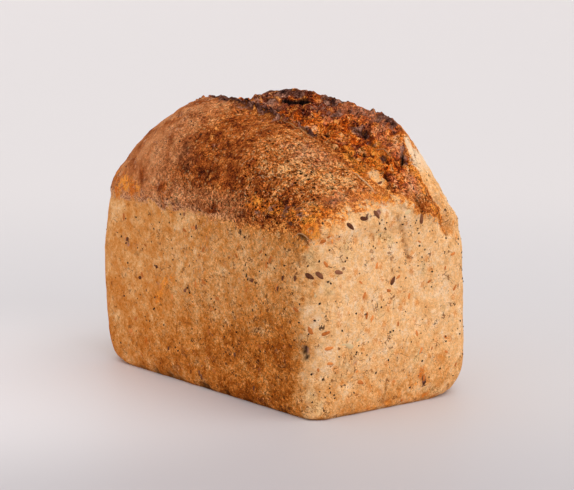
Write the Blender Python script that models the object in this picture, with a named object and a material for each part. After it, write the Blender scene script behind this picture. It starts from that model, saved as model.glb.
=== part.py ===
"""A seeded multigrain loaf baked in a tin: one uncut solid that stands on its flat base.

Metres, +Z up, +X along the loaf, -Y the long side whose crust is unbroken.
The crown has torn open lengthways: a rough slope climbs from the near lobe's edge to the
ragged ear on the far lobe. The origin is on the base, under the middle of the loaf.
"""
import math
import random

import bmesh
import bpy
from mathutils import Matrix, Vector, noise
from mathutils.bvhtree import BVHTree

# Driving dimensions
BASE_LENGTH = 0.1905        # between the feet of the end walls
BASE_WIDTH = 0.1070         # between the feet of the long walls
FLARE = 0.0010              # how much further out a wall stands where it is fullest
FLARE_HEIGHT = 0.060        # height at which the walls are fullest
FOOT_RADIUS = 0.0025        # rounding between the walls and the flat base
FOOT_REACH = 0.018          # the upright corners change their radius below this height

HALF_LENGTH = BASE_LENGTH / 2 + FLARE
HALF_WIDTH = BASE_WIDTH / 2 + FLARE

# Radius of each upright corner in plan, by the signs of x and y: at the base, in the tin
# and at the rim
CORNERS = {
    (-1, -1): (0.0270, 0.0130, 0.0250), (1, -1): (0.0090, 0.0165, 0.0200),
    (1, 1): (0.0290, 0.0165, 0.0280), (-1, 1): (0.0220, 0.0165, 0.0240),
}
CORNER_CHANGE = 0.055       # the radius changes from this height up

# Section of the lobes: a power of 2 is round, more is squarer, less is more like a roof
CROWN_POWER = 2.0
NEAR_POWER_LOSS = 0.35      # towards the ends the lobes lose this much
FAR_POWER_LOSS = 0.75
LOSS_FROM, LOSS_OVER = 0.042, 0.040

# Height of the rim, where the tin stopped holding the walls, as (x, z)
NEAR_RIM = ((-HALF_LENGTH, 0.0975), (-0.060, 0.0945), (0.060, 0.0935), (HALF_LENGTH, 0.0915))
FAR_RIM = (
    (-HALF_LENGTH, 0.0930), (-0.070, 0.0870), (0.0, 0.0850), (0.070, 0.0855), (HALF_LENGTH, 0.0930),
)

# The two edges of the tear, as (x, y, z)
NEAR_EDGE = (
    (-HALF_LENGTH, -0.004, 0.0990), (-0.083, -0.010, 0.1300), (-0.060, -0.014, 0.1430),
    (-0.040, -0.015, 0.1480), (-0.018, -0.014, 0.1460), (0.004, -0.012, 0.1410),
    (0.027, -0.011, 0.1390), (0.048, -0.010, 0.1330), (0.068, -0.008, 0.1250),
    (0.088, -0.003, 0.1150), (HALF_LENGTH, 0.004, 0.1020),
)
EAR_EDGE = (
    (-HALF_LENGTH, 0.006, 0.0960), (-0.083, 0.012, 0.1250), (-0.060, 0.016, 0.1390),
    (-0.040, 0.018, 0.1470), (-0.014, 0.020, 0.1508), (0.026, 0.021, 0.1480),
    (0.058, 0.021, 0.1425), (0.076, 0.020, 0.1355), (0.085, 0.019, 0.1220),
    (HALF_LENGTH, 0.018, 0.1000),
)

# The tear: its floor lies below the near lobe's edge and is broken into crags
TEAR_GROOVE = 0.0035
TEAR_HOLLOW = 0.65          # 0 gives the slope between the edges a straight section, 1 an S
TEAR_EDGE = 0.125           # share of its width that each edge takes
EDGE_LIP = 0.0012           # the torn skin stands this far above the tear on both edges
EDGE_CRAGS = 0.35           # and is this much less broken than the tear itself
CRAG_HEIGHT = 0.0024
CRAG_SIZE = 0.0085
CRAG_SHARPNESS = 1.8        # how soon a crag rises to its flat top from the gap round it
CRAG_TOP, CRAG_GAP = 0.55, -0.75
CRAG_ROUGHNESS = 0.7
TEAR_START, TEAR_STOP, TEAR_FADE = -0.100, 0.102, 0.020

# Relief of the skin
LUMP_HEIGHT, LUMP_SIZE = 0.0014, 0.042
CRUST_HEIGHT, CRUST_SIZE = 0.0006, 0.0080
RIM_ROLL = 0.0010           # the crown bulges over the wall just above the rim
RIM_PINCH = 0.0008          # and the wall draws in just below it
ROLL_BAND = 0.0045
ROLL_UNEVEN, ROLL_UNEVEN_SIZE = 0.6, 0.030
CALM_BELOW = 0.012          # the walls are smooth towards the base
CRUST_FROM, CRUST_OVER = 0.085, 0.015

# Folds in the end wall, as (y, z) of both ends, with half their width and their depth
END_FOLDS = (
    ((0.024, 0.108), (0.033, 0.088), 0.0024, 0.0026),
    ((0.012, 0.106), (0.018, 0.096), 0.0020, 0.0018),
    ((0.001, 0.122), (0.000, 0.108), 0.0020, 0.0020),
    ((0.004, 0.092), (0.008, 0.066), 0.0024, 0.0008),
)
FOLD_REACH = 0.060          # only faces further along +X than this are folded

# Mesh
COLUMNS = 56                # along the loaf
NEAR_ROWS, TEAR_ROWS, FAR_ROWS = 10, 8, 9
WALL_ROWS, FOOT_ROWS = 8, 4
MIDDLE_CROWDING = 0.16      # columns gather where the tear is, away from the quarter points

# Seeds that stand out of the skin: length, width, thickness
FLAX = (0.0053, 0.0030, 0.0021)
GRAIN = (0.0048, 0.0026, 0.0018)
KERNEL = (0.0085, 0.0046, 0.0028)
SEED_SIDES, SEED_RINGS = 6, 4
SEED_SINK = 0.00015         # how far a seed's middle lies under the skin
SEED_TAPER = 0.35           # a seed is this much narrower at one end
SEED_CLEAR_OF_FLOOR = 0.008
# Seeds that show on the +X end wall, as (y, z, turn in degrees)
END_FLAX = (
    (-0.0318, 0.0964, -40), (-0.0234, 0.0995, -10), (-0.0149, 0.1007, -55), (0.0145, 0.0958, 90),
    (-0.0478, 0.0731, -45), (-0.0512, 0.0725, -30), (-0.0388, 0.0742, -15), (-0.0027, 0.0658, 60),
)
END_GRAINS = (
    (-0.0135, 0.0747, 75), (-0.0220, 0.0607, 60), (0.0217, 0.0626, 25), (0.0397, 0.0573, 60),
    (-0.0457, 0.0443, 20), (-0.0442, 0.0366, 10),
)
# and on the -Y side, as (x, z, turn in degrees)
SIDE_FLAX = (
    (-0.0113, 0.0520, 0), (-0.0650, 0.0718, 0), (-0.0274, 0.0173, 80), (-0.0012, 0.0864, 60),
    (0.0316, 0.0232, 60), (0.0758, 0.0980, -20),
)
# Seeds spread over the other walls and the crown: columns and rows of cells, and the low
# and high corner of the patch that they divide
LONG_WALL_CELLS, LONG_WALL_PATCH = (7, 2), ((-0.080, 0.014), (0.080, 0.084))
END_WALL_CELLS, END_WALL_PATCH = (4, 3), ((-0.040, 0.014), (0.040, 0.090))
CROWN_CELLS, CROWN_PATCH = (6, 2), ((-0.070, 0.026), (0.070, 0.046))
CELL_MARGIN = 0.15
KERNEL_SHARE = 0.3
SEED_DRAW = 41
CLEAR_OF_LOAF = 0.3         # rays that find the skin start this far out
LEVEL_NUDGE = Vector((0.001, 0.002, 0))     # keeps a level line defined where the skin is level

CRUST_COLOR = (0.42, 0.20, 0.085, 1.0)
CRUST_ROUGHNESS = 0.78


def clear_scene():
    for item in list(bpy.data.objects):
        bpy.data.objects.remove(item, do_unlink=True)


def smooth(value):
    """0 below 0, 1 above 1, and an S between."""
    value = min(1.0, max(0.0, value))
    return value * value * (3.0 - 2.0 * value)


def length_share(x):
    """Where x lies along the loaf as an angle's share, so that the ends round off upright."""
    return math.asin(max(-1.0, min(1.0, x / HALF_LENGTH))) / (math.pi / 2)


def along(stations, share):
    """The values of a rail of stations at this share of the length, on a smooth curve."""
    knots = [length_share(station[0]) for station in stations]
    last = len(knots) - 2
    i = next((k for k in range(last) if share < knots[k + 1]), last)
    span = knots[i + 1] - knots[i]
    t = min(1.0, max(0.0, (share - knots[i]) / span))
    values = []
    for axis in range(1, len(stations[0])):
        heights = [station[axis] for station in stations]

        def slope(k):
            low, high = max(0, k - 1), min(len(knots) - 1, k + 1)
            return (heights[high] - heights[low]) / (knots[high] - knots[low])

        a, b = heights[i], heights[i + 1]
        m, n = slope(i) * span, slope(i + 1) * span
        values.append(
            a + t * (m + t * (3 * (b - a) - 2 * m - n + t * (m + n - 2 * (b - a))))
        )
    return values


def corner_radius(sign_x, sign_y, z, rim_z):
    """The radius in plan of one upright corner at this height."""
    at_base, in_tin, at_rim = CORNERS[sign_x, sign_y]
    up = smooth((z - CORNER_CHANGE) / (rim_z - CORNER_CHANGE))
    down = max(0.0, 1 - z / FOOT_REACH) ** 2
    return in_tin + (at_rim - in_tin) * up + (at_base - in_tin) * down


def sign(value):
    return -1 if value < 0 else 1


def crown_power(x, loss):
    return CROWN_POWER - loss * smooth((abs(x) - LOSS_FROM) / LOSS_OVER)


def corner_inset(x, half_length, radius):
    """How far a corner pulls the long sides in at this x."""
    into = abs(x) - (half_length - radius)
    if into <= 0:
        return 0.0
    return radius - math.sqrt(max(0.0, radius * radius - into * into))


def arch(share, power):
    """Run and rise, each 0 to 1, along a quarter of a rounded square."""
    angle = share * math.pi / 2
    return math.cos(angle) ** (2 / power), math.sin(angle) ** (2 / power)


def tear_weight(x):
    """1 along the tear, fading to 0 at the loaf's ends."""
    return smooth((x - TEAR_START) / TEAR_FADE) * smooth((TEAR_STOP - x) / TEAR_FADE)


def crown_column(share):
    """One section of the crown, from the near rim over both lobes to the far rim.

    Gives (point, part of the tear) pairs. The second is 0 on the lobes and 1 in the tear.
    """
    x = HALF_LENGTH * math.sin(share * math.pi / 2)
    near_width, far_width = (
        HALF_WIDTH - corner_inset(x, HALF_LENGTH, CORNERS[sign(x), side][-1])
        for side in (-1, 1)
    )
    near_y, near_z = along(NEAR_EDGE, share)
    ear_y, ear_z = along(EAR_EDGE, share)
    near_rim, far_rim = along(NEAR_RIM, share)[0], along(FAR_RIM, share)[0]
    torn = tear_weight(x)
    column = []
    for row in range(NEAR_ROWS):
        run, rise = arch(row / NEAR_ROWS, crown_power(x, NEAR_POWER_LOSS))
        y = near_y - (near_y + near_width) * run
        column.append((Vector((x, y, near_rim + (near_z - near_rim) * rise)), 0.0))
    for row in range(TEAR_ROWS + 1):
        across = row / TEAR_ROWS
        climb = across + TEAR_HOLLOW * (smooth(across) - across)
        inside = smooth(across / TEAR_EDGE) * smooth((1 - across) / TEAR_EDGE)
        y = near_y + (ear_y - near_y) * across
        z = near_z + (ear_z - near_z) * climb
        z += torn * (EDGE_LIP * (1 - inside) - TEAR_GROOVE * inside * (1 - across))
        part = torn * (EDGE_CRAGS + (1 - EDGE_CRAGS) * inside)
        column.append((Vector((x, y, z)), part))
    for row in range(1, FAR_ROWS + 1):
        rise, run = arch(row / FAR_ROWS, crown_power(x, FAR_POWER_LOSS))
        y = ear_y + (far_width - ear_y) * run
        column.append((Vector((x, y, far_rim + (ear_z - far_rim) * rise)), 0.0))
    return column


def column_shares():
    """Shares of the length from -1 to 1 at which the columns stand."""
    shares = []
    for i in range(COLUMNS + 1):
        t = 2 * i / COLUMNS - 1
        shares.append(t - MIDDLE_CROWDING * math.sin(2 * math.pi * t) / (2 * math.pi))
    return shares


def wall_point(rim_point, share_down, foot_angle):
    """The point of a wall under this point of the rim."""
    z = FOOT_RADIUS + (rim_point.z - FOOT_RADIUS) * (1 - share_down)
    inset = 0.0
    if foot_angle:
        z = FOOT_RADIUS * (1 - math.sin(foot_angle))
        inset = FOOT_RADIUS * (1 - math.cos(foot_angle))
    inset += FLARE * max(0.0, 1 - z / FLARE_HEIGHT) ** 2
    length, width = HALF_LENGTH - inset, HALF_WIDTH - inset
    signs = sign(rim_point.x), sign(rim_point.y)
    radius = corner_radius(*signs, z, rim_point.z)
    x = rim_point.x * length / HALF_LENGTH
    if abs(rim_point.x) < HALF_LENGTH - 1e-7:
        return Vector((x, signs[1] * (width - corner_inset(x, length, radius)), z))
    straight = HALF_WIDTH - CORNERS[signs][-1]
    return Vector((x, rim_point.y * (width - radius) / straight, z))


def loaf_mesh():
    """The smooth form, as a bmesh, with each vertex's share in the tear."""
    bm = bmesh.new()
    torn = {}
    crown = []
    for share in column_shares():
        column = []
        for point, part in crown_column(share):
            vert = bm.verts.new(point)
            torn[vert] = part
            column.append(vert)
        crown.append(column)
    for left, right in zip(crown, crown[1:]):
        for j in range(len(left) - 1):
            bm.faces.new((left[j], right[j], right[j + 1], left[j + 1]))
    rim = [column[0] for column in crown]
    rim += crown[-1][1:]
    rim += [column[-1] for column in reversed(crown[:-1])]
    rim += list(reversed(crown[0][1:-1]))
    steps = [(k / WALL_ROWS, 0.0) for k in range(1, WALL_ROWS + 1)]
    steps += [(1.0, k / FOOT_ROWS * math.pi / 2) for k in range(1, FOOT_ROWS + 1)]
    above = rim
    for share_down, foot_angle in steps:
        ring = [bm.verts.new(wall_point(vert.co, share_down, foot_angle)) for vert in rim]
        torn.update(dict.fromkeys(ring, 0.0))
        for k in range(len(ring)):
            after = (k + 1) % len(ring)
            bm.faces.new((above[after], above[k], ring[k], ring[after]))
        above = ring
    bm.faces.new(list(reversed(above)))
    bm.normal_update()
    return bm, torn


def segment_distance(y, z, start, end):
    """Distance in the end wall's plane from a point to a fold's line."""
    along_y, along_z = end[0] - start[0], end[1] - start[1]
    t = ((y - start[0]) * along_y + (z - start[1]) * along_z) / (along_y ** 2 + along_z ** 2)
    t = min(1.0, max(0.0, t))
    return math.hypot(y - start[0] - t * along_y, z - start[1] - t * along_z)


def fold_depth(point):
    """How deep the folds of the +X end cut in at this point."""
    if point.x < FOLD_REACH:
        return 0.0
    depth = 0.0
    for start, end, half_width, deep in END_FOLDS:
        apart = segment_distance(point.y, point.z, start, end) / half_width
        depth = max(depth, deep * math.exp(-apart * apart))
    return depth


def rim_bulge(point, torn):
    """The roll of crust above the rim and the pinch under it, uneven along the loaf."""
    across = smooth(0.5 + point.y / HALF_WIDTH)
    share = length_share(point.x)
    near_rim, far_rim = along(NEAR_RIM, share)[0], along(FAR_RIM, share)[0]
    above = (point.z - near_rim * (1 - across) - far_rim * across) / ROLL_BAND
    spot = Vector((point.x, point.y, 0.0)) / ROLL_UNEVEN_SIZE
    uneven = 0.7 + ROLL_UNEVEN * noise.noise(spot)
    roll = RIM_ROLL * math.exp(-(above - 1.1) ** 2)
    pinch = RIM_PINCH * math.exp(-(1.6 * above + 0.9) ** 2)
    return uneven * (roll - pinch) * (1 - torn)


def crags(point):
    """Broken crumb in the tear, about -1 to 1: chunky lumps with sharp gaps."""
    first, second = noise.voronoi(point / CRAG_SIZE)[0][:2]
    chunk = min(1.0, (second - first) * CRAG_SHARPNESS)
    rough = CRAG_ROUGHNESS * noise.noise(point / (0.55 * CRAG_SIZE))
    return CRAG_GAP + (CRAG_TOP - CRAG_GAP) * chunk + rough


def relief(bm, torn):
    """Moves each vertex of the smooth form out or in, and leaves the base flat."""
    moves = {}
    for vert in bm.verts:
        point = vert.co.copy()
        if point.z < 1e-6:
            continue
        part = torn[vert]
        calm = smooth(point.z / CALM_BELOW)
        crown = smooth((point.z - CRUST_FROM) / CRUST_OVER)
        out = LUMP_HEIGHT * calm * noise.noise(point / LUMP_SIZE)
        out += CRUST_HEIGHT * crown * (1 - part) * noise.noise(point / CRUST_SIZE)
        out += rim_bulge(point, part)
        moves[vert] = vert.normal * out
        moves[vert].x -= fold_depth(point)
        moves[vert].z += CRAG_HEIGHT * part * crags(point)
    for vert, move in moves.items():
        vert.co += move


def seed_object(name, size, place, collection):
    """A pointed oval seed, few-sided, lying flat on the skin at this place."""
    bm = bmesh.new()
    bmesh.ops.create_uvsphere(bm, u_segments=SEED_SIDES, v_segments=SEED_RINGS, radius=0.5)
    length, width, thick = size
    for vert in bm.verts:
        x, y, z = vert.co
        taper = 1 - SEED_TAPER * smooth(z + 0.5)
        vert.co = Vector((z * length, x * width * taper, y * thick))
    bmesh.ops.recalc_face_normals(bm, faces=bm.faces)
    mesh = bpy.data.meshes.new(name)
    bm.to_mesh(mesh)
    bm.free()
    seed = bpy.data.objects.new(name, mesh)
    seed.matrix_world = place
    collection.objects.link(seed)
    return seed


def lie_on(tree, start, direction, turn):
    """The frame of a seed laid where this ray meets the skin, or None where it may not lie."""
    point, normal, _, _ = tree.ray_cast(start, direction)
    if point is None or point.z < SEED_CLEAR_OF_FLOOR:
        return None
    level = (Vector((0, 0, 1)) + LEVEL_NUDGE).cross(normal).normalized()
    across = Matrix.Rotation(turn, 3, normal) @ level
    side = normal.cross(across)
    place = Matrix((across, side, normal)).transposed().to_4x4()
    place.translation = point - normal * SEED_SINK
    return place


def cells(draw, counts, patch):
    """One random point in each cell of a grid over a rectangular patch."""
    low, high = patch
    for i in range(counts[0]):
        for j in range(counts[1]):
            u = (i + draw.uniform(CELL_MARGIN, 1 - CELL_MARGIN)) / counts[0]
            v = (j + draw.uniform(CELL_MARGIN, 1 - CELL_MARGIN)) / counts[1]
            yield low[0] + u * (high[0] - low[0]), low[1] + v * (high[1] - low[1])


def seed_places(tree):
    """Every seed's kind and frame: those that show, then an even spread elsewhere."""
    draw = random.Random(SEED_DRAW)
    rays = []

    def aim(kind, start, direction, turn):
        rays.append((kind, Vector(start), Vector(direction), turn))

    def pick():
        return KERNEL if draw.random() < KERNEL_SHARE else FLAX

    for kind, places in ((FLAX, END_FLAX), (GRAIN, END_GRAINS)):
        for y, z, turn in places:
            aim(kind, (CLEAR_OF_LOAF, y, z), (-1, 0, 0), math.radians(turn))
    for x, z, turn in SIDE_FLAX:
        aim(FLAX, (x, -CLEAR_OF_LOAF, z), (0, 1, 0), math.radians(turn))
    for x, z in cells(draw, LONG_WALL_CELLS, LONG_WALL_PATCH):
        aim(pick(), (x, CLEAR_OF_LOAF, z), (0, -1, 0), draw.uniform(0, math.pi))
    for y, z in cells(draw, END_WALL_CELLS, END_WALL_PATCH):
        aim(pick(), (-CLEAR_OF_LOAF, y, z), (1, 0, 0), draw.uniform(0, math.pi))
    for side in (-1, 1):
        for x, y in cells(draw, CROWN_CELLS, CROWN_PATCH):
            aim(FLAX, (x, side * y, CLEAR_OF_LOAF), (0, 0, -1), draw.uniform(0, math.pi))
    for kind, start, direction, turn in rays:
        place = lie_on(tree, start, direction, turn)
        if place is not None:
            yield kind, place


def fuse_seeds(loaf):
    """Joins the seeds to the loaf's solid in one union and removes them."""
    tree = BVHTree.FromObject(loaf, bpy.context.evaluated_depsgraph_get())
    collection = bpy.data.collections.new("seeds")
    bpy.context.scene.collection.children.link(collection)
    for kind, place in seed_places(tree):
        seed_object("seed", kind, place, collection)
    union = loaf.modifiers.new("seeds", "BOOLEAN")
    union.operation = "UNION"
    union.solver = "EXACT"
    union.operand_type = "COLLECTION"
    union.collection = collection
    graph = bpy.context.evaluated_depsgraph_get()
    fused = bpy.data.meshes.new_from_object(loaf.evaluated_get(graph))
    loaf.modifiers.clear()
    loaf.data = fused
    for seed in list(collection.objects):
        bpy.data.objects.remove(seed, do_unlink=True)
    bpy.data.collections.remove(collection)


def crust_material():
    material = bpy.data.materials.new("crust")
    material.use_nodes = True
    shader = material.node_tree.nodes["Principled BSDF"]
    shader.inputs["Base Color"].default_value = CRUST_COLOR
    shader.inputs["Roughness"].default_value = CRUST_ROUGHNESS
    return material


def centre_on_base(mesh):
    """Puts the origin on the base, under the middle of the loaf's own box."""
    middle = [
        (min(v.co[axis] for v in mesh.vertices) + max(v.co[axis] for v in mesh.vertices)) / 2
        for axis in (0, 1)
    ]
    mesh.transform(Matrix.Translation((-middle[0], -middle[1], 0.0)))


def make_loaf():
    bm, torn = loaf_mesh()
    relief(bm, torn)
    bmesh.ops.triangulate(bm, faces=bm.faces)
    mesh = bpy.data.meshes.new("loaf")
    bm.to_mesh(mesh)
    bm.free()
    loaf = bpy.data.objects.new("loaf", mesh)
    bpy.context.scene.collection.objects.link(loaf)
    bpy.context.view_layer.update()
    fuse_seeds(loaf)
    centre_on_base(loaf.data)
    loaf.data.materials.clear()
    loaf.data.materials.append(crust_material())


clear_scene()
make_loaf()
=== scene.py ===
"""The looks of a seeded multigrain tin loaf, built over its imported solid.

Metres, +Z up, +X along the loaf. The loaf's form repeats the solid's own rules on a finer
mesh, and the fine relief, the seeds and the finish are added to it.
"""
import math
import random
from functools import partial

import bmesh
import bpy
import numpy as np
from mathutils import Matrix, Vector, noise
from mathutils.bvhtree import BVHTree


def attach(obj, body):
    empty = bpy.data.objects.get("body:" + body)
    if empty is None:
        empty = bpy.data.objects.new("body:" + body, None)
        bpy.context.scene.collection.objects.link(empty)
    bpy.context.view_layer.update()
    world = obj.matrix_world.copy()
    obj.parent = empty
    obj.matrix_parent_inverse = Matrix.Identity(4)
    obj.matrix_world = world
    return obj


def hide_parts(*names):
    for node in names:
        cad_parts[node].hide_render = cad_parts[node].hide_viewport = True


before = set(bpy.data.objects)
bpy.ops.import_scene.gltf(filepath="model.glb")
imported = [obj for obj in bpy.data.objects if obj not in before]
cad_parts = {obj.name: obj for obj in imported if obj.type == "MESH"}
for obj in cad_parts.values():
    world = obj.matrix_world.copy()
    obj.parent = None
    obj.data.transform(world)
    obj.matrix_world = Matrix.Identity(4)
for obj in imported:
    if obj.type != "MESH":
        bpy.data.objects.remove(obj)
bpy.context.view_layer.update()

# Camera, from the photograph's view
CAMERA_PLACE = (0.85455, -0.67414, 0.25431)
CAMERA_FORWARD = (-0.77205623, 0.61348241, -0.16603768)
CAMERA_LENS = 128.51        # mm, on a 36 mm sensor

MM_PER_METRE = 1000
TOUCHING = 1e-6             # nearer than this is as good as on it

# Form: the solid's own driving dimensions
BASE_LENGTH = 0.1905
BASE_WIDTH = 0.1070
FLARE = 0.0010
FLARE_HEIGHT = 0.060
FOOT_RADIUS = 0.0025
FOOT_REACH = 0.018
HALF_LENGTH = BASE_LENGTH / 2 + FLARE
HALF_WIDTH = BASE_WIDTH / 2 + FLARE
CORNERS = {
    (-1, -1): (0.0270, 0.0130, 0.0250), (1, -1): (0.0090, 0.0165, 0.0200),
    (1, 1): (0.0290, 0.0165, 0.0280), (-1, 1): (0.0220, 0.0165, 0.0240),
}
CORNER_CHANGE = 0.055
CROWN_POWER = 2.0
NEAR_POWER_LOSS = 0.35
FAR_POWER_LOSS = 0.75
LOSS_FROM, LOSS_OVER = 0.042, 0.040
NEAR_RIM = ((-HALF_LENGTH, 0.0975), (-0.060, 0.0945), (0.060, 0.0935), (HALF_LENGTH, 0.0915))
FAR_RIM = (
    (-HALF_LENGTH, 0.0930), (-0.070, 0.0870), (0.0, 0.0850), (0.070, 0.0855),
    (HALF_LENGTH, 0.0930),
)
NEAR_EDGE = (
    (-HALF_LENGTH, -0.004, 0.0990), (-0.083, -0.010, 0.1300), (-0.060, -0.014, 0.1430),
    (-0.040, -0.015, 0.1480), (-0.018, -0.014, 0.1460), (0.004, -0.012, 0.1410),
    (0.027, -0.011, 0.1390), (0.048, -0.010, 0.1330), (0.068, -0.008, 0.1250),
    (0.088, -0.003, 0.1150), (HALF_LENGTH, 0.004, 0.1020),
)
EAR_EDGE = (
    (-HALF_LENGTH, 0.006, 0.0960), (-0.083, 0.012, 0.1250), (-0.060, 0.016, 0.1390),
    (-0.040, 0.018, 0.1470), (-0.014, 0.020, 0.1508), (0.026, 0.021, 0.1480),
    (0.058, 0.021, 0.1425), (0.076, 0.020, 0.1355), (0.085, 0.019, 0.1220),
    (HALF_LENGTH, 0.018, 0.1000),
)
TEAR_GROOVE = 0.0035
TEAR_HOLLOW = 0.65
TEAR_EDGE = 0.125
EDGE_LIP = 0.0012
EDGE_CRAGS = 0.35
CRAG_HEIGHT = 0.0024
CRAG_SIZE = 0.0085
CRAG_SHARPNESS = 1.8
CRAG_TOP, CRAG_GAP = 0.55, -0.75
CRAG_ROUGHNESS, CRAG_ROUGHNESS_SIZE = 0.7, 0.55
BROKEN_CRUMB = (0.75, 2.2, 4, 1.0, 2.0)     # of ridged noise, from its H to its gain
TEAR_START, TEAR_STOP, TEAR_FADE = -0.100, 0.102, 0.020
LUMP_HEIGHT, LUMP_SIZE = 0.0014, 0.042
CRUST_HEIGHT, CRUST_SIZE = 0.0006, 0.0080
RIM_ROLL, ROLL_AT = 0.0010, 1.1
RIM_PINCH, PINCH_AT, PINCH_NARROWER = 0.0008, -0.9, 1.6
ROLL_BAND = 0.0045
ROLL_EVEN, ROLL_UNEVEN, ROLL_UNEVEN_SIZE = 0.7, 0.6, 0.030
CALM_BELOW = 0.012
CRUST_FROM, CRUST_OVER = 0.085, 0.015
END_FOLDS = (
    ((0.024, 0.108), (0.033, 0.088), 0.0024, 0.0026),
    ((0.012, 0.106), (0.018, 0.096), 0.0020, 0.0018),
    ((0.001, 0.122), (0.000, 0.108), 0.0020, 0.0020),
    ((0.004, 0.092), (0.008, 0.066), 0.0024, 0.0008),
)
FOLDS_FROM = 0.060

# Mesh: finer than the solid, finest in the tear
COLUMNS = 226
NEAR_ROWS, TEAR_ROWS, FAR_ROWS = 84, 66, 84
WALL_ROWS, FOOT_ROWS = 60, 5
MIDDLE_CROWDING = 0.16


def smooth(value):
    """0 below 0, 1 above 1, and an S between."""
    value = np.clip(value, 0.0, 1.0)
    return value * value * (3.0 - 2.0 * value)


def length_share(x):
    """Where x lies along the loaf as an angle's share, so that the ends round off upright."""
    return math.asin(max(-1.0, min(1.0, x / HALF_LENGTH))) / (math.pi / 2)


def along(stations, share):
    """The values of a rail of stations at this share of the length, on a smooth curve."""
    knots = [length_share(station[0]) for station in stations]
    last = len(knots) - 2
    i = next((k for k in range(last) if share < knots[k + 1]), last)
    span = knots[i + 1] - knots[i]
    t = min(1.0, max(0.0, (share - knots[i]) / span))
    values = []
    for axis in range(1, len(stations[0])):
        heights = [station[axis] for station in stations]

        def slope(k):
            low, high = max(0, k - 1), min(len(knots) - 1, k + 1)
            return (heights[high] - heights[low]) / (knots[high] - knots[low])

        a, b = heights[i], heights[i + 1]
        m, n = slope(i) * span, slope(i + 1) * span
        values.append(
            a + t * (m + t * (3 * (b - a) - 2 * m - n + t * (m + n - 2 * (b - a))))
        )
    return values


def corner_radius(sign_x, sign_y, z, rim_z):
    """The radius in plan of one upright corner at this height."""
    at_base, in_tin, at_rim = CORNERS[sign_x, sign_y]
    up = smooth((z - CORNER_CHANGE) / (rim_z - CORNER_CHANGE))
    down = max(0.0, 1 - z / FOOT_REACH) ** 2
    return in_tin + (at_rim - in_tin) * up + (at_base - in_tin) * down


def sign(value):
    return -1 if value < 0 else 1


def crown_power(x, loss):
    return CROWN_POWER - loss * smooth((abs(x) - LOSS_FROM) / LOSS_OVER)


def corner_inset(x, half_length, radius):
    """How far a corner pulls the long sides in at this x."""
    into = abs(x) - (half_length - radius)
    if into <= 0:
        return 0.0
    return radius - math.sqrt(max(0.0, radius * radius - into * into))


def arch(share, power):
    """Run and rise, each 0 to 1, along a quarter of a rounded square."""
    angle = share * math.pi / 2
    return math.cos(angle) ** (2 / power), math.sin(angle) ** (2 / power)


def tear_weight(x):
    """1 along the tear, fading to 0 at the loaf's ends."""
    return smooth((x - TEAR_START) / TEAR_FADE) * smooth((TEAR_STOP - x) / TEAR_FADE)


def crown_column(share):
    """One section of the crown, from the near rim over both lobes to the far rim.

    Gives for each point its place, its part in the tear from 0 to 1, and its distances past
    the near lobe's edge and past the ear's edge, less than 0 on the -Y side of them.
    """
    x = HALF_LENGTH * math.sin(share * math.pi / 2)
    near_width, far_width = (
        HALF_WIDTH - corner_inset(x, HALF_LENGTH, CORNERS[sign(x), side][-1])
        for side in (-1, 1)
    )
    near_y, near_z = along(NEAR_EDGE, share)
    ear_y, ear_z = along(EAR_EDGE, share)
    near_rim, far_rim = along(NEAR_RIM, share)[0], along(FAR_RIM, share)[0]
    near_power, far_power = crown_power(x, NEAR_POWER_LOSS), crown_power(x, FAR_POWER_LOSS)
    torn = float(tear_weight(x))
    column = []

    def add(y, z, part):
        past_near = math.hypot(y - near_y, z - near_z) * sign(y - near_y)
        past_ear = math.hypot(y - ear_y, z - ear_z) * sign(y - ear_y)
        column.append(((x, y, z), (part, past_near, past_ear)))

    for row in range(NEAR_ROWS):
        run, rise = arch(row / NEAR_ROWS, near_power)
        y = near_y - (near_y + near_width) * run
        add(y, near_rim + (near_z - near_rim) * rise, 0.0)
    for row in range(TEAR_ROWS + 1):
        across = row / TEAR_ROWS
        climb = across + TEAR_HOLLOW * float(smooth(across) - across)
        inside = float(smooth(across / TEAR_EDGE) * smooth((1 - across) / TEAR_EDGE))
        z = near_z + (ear_z - near_z) * climb
        z += torn * (EDGE_LIP * (1 - inside) - TEAR_GROOVE * inside * (1 - across))
        add(near_y + (ear_y - near_y) * across, z, torn * (EDGE_CRAGS + (1 - EDGE_CRAGS) * inside))
    for row in range(1, FAR_ROWS + 1):
        rise, run = arch(row / FAR_ROWS, far_power)
        y = ear_y + (far_width - ear_y) * run
        add(y, far_rim + (ear_z - far_rim) * rise, 0.0)
    return column


def column_shares():
    """Shares of the length from -1 to 1 at which the columns stand."""
    shares = []
    for i in range(COLUMNS + 1):
        t = 2 * i / COLUMNS - 1
        shares.append(t - MIDDLE_CROWDING * math.sin(2 * math.pi * t) / (2 * math.pi))
    return shares


def wall_point(rim_point, share_down, foot_angle):
    """The point of a wall under this point of the rim."""
    z = FOOT_RADIUS + (rim_point[2] - FOOT_RADIUS) * (1 - share_down)
    inset = 0.0
    if foot_angle:
        z = FOOT_RADIUS * (1 - math.sin(foot_angle))
        inset = FOOT_RADIUS * (1 - math.cos(foot_angle))
    inset += FLARE * max(0.0, 1 - z / FLARE_HEIGHT) ** 2
    length, width = HALF_LENGTH - inset, HALF_WIDTH - inset
    signs = sign(rim_point[0]), sign(rim_point[1])
    radius = float(corner_radius(*signs, z, rim_point[2]))
    x = rim_point[0] * length / HALF_LENGTH
    if abs(rim_point[0]) < HALF_LENGTH - TOUCHING:
        return x, signs[1] * (width - corner_inset(x, length, radius)), z
    straight = HALF_WIDTH - CORNERS[signs][-1]
    return x, rim_point[1] * (width - radius) / straight, z


FAR_AWAY = 0.2              # stands for the distance from the tear of what lies on a wall


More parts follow.
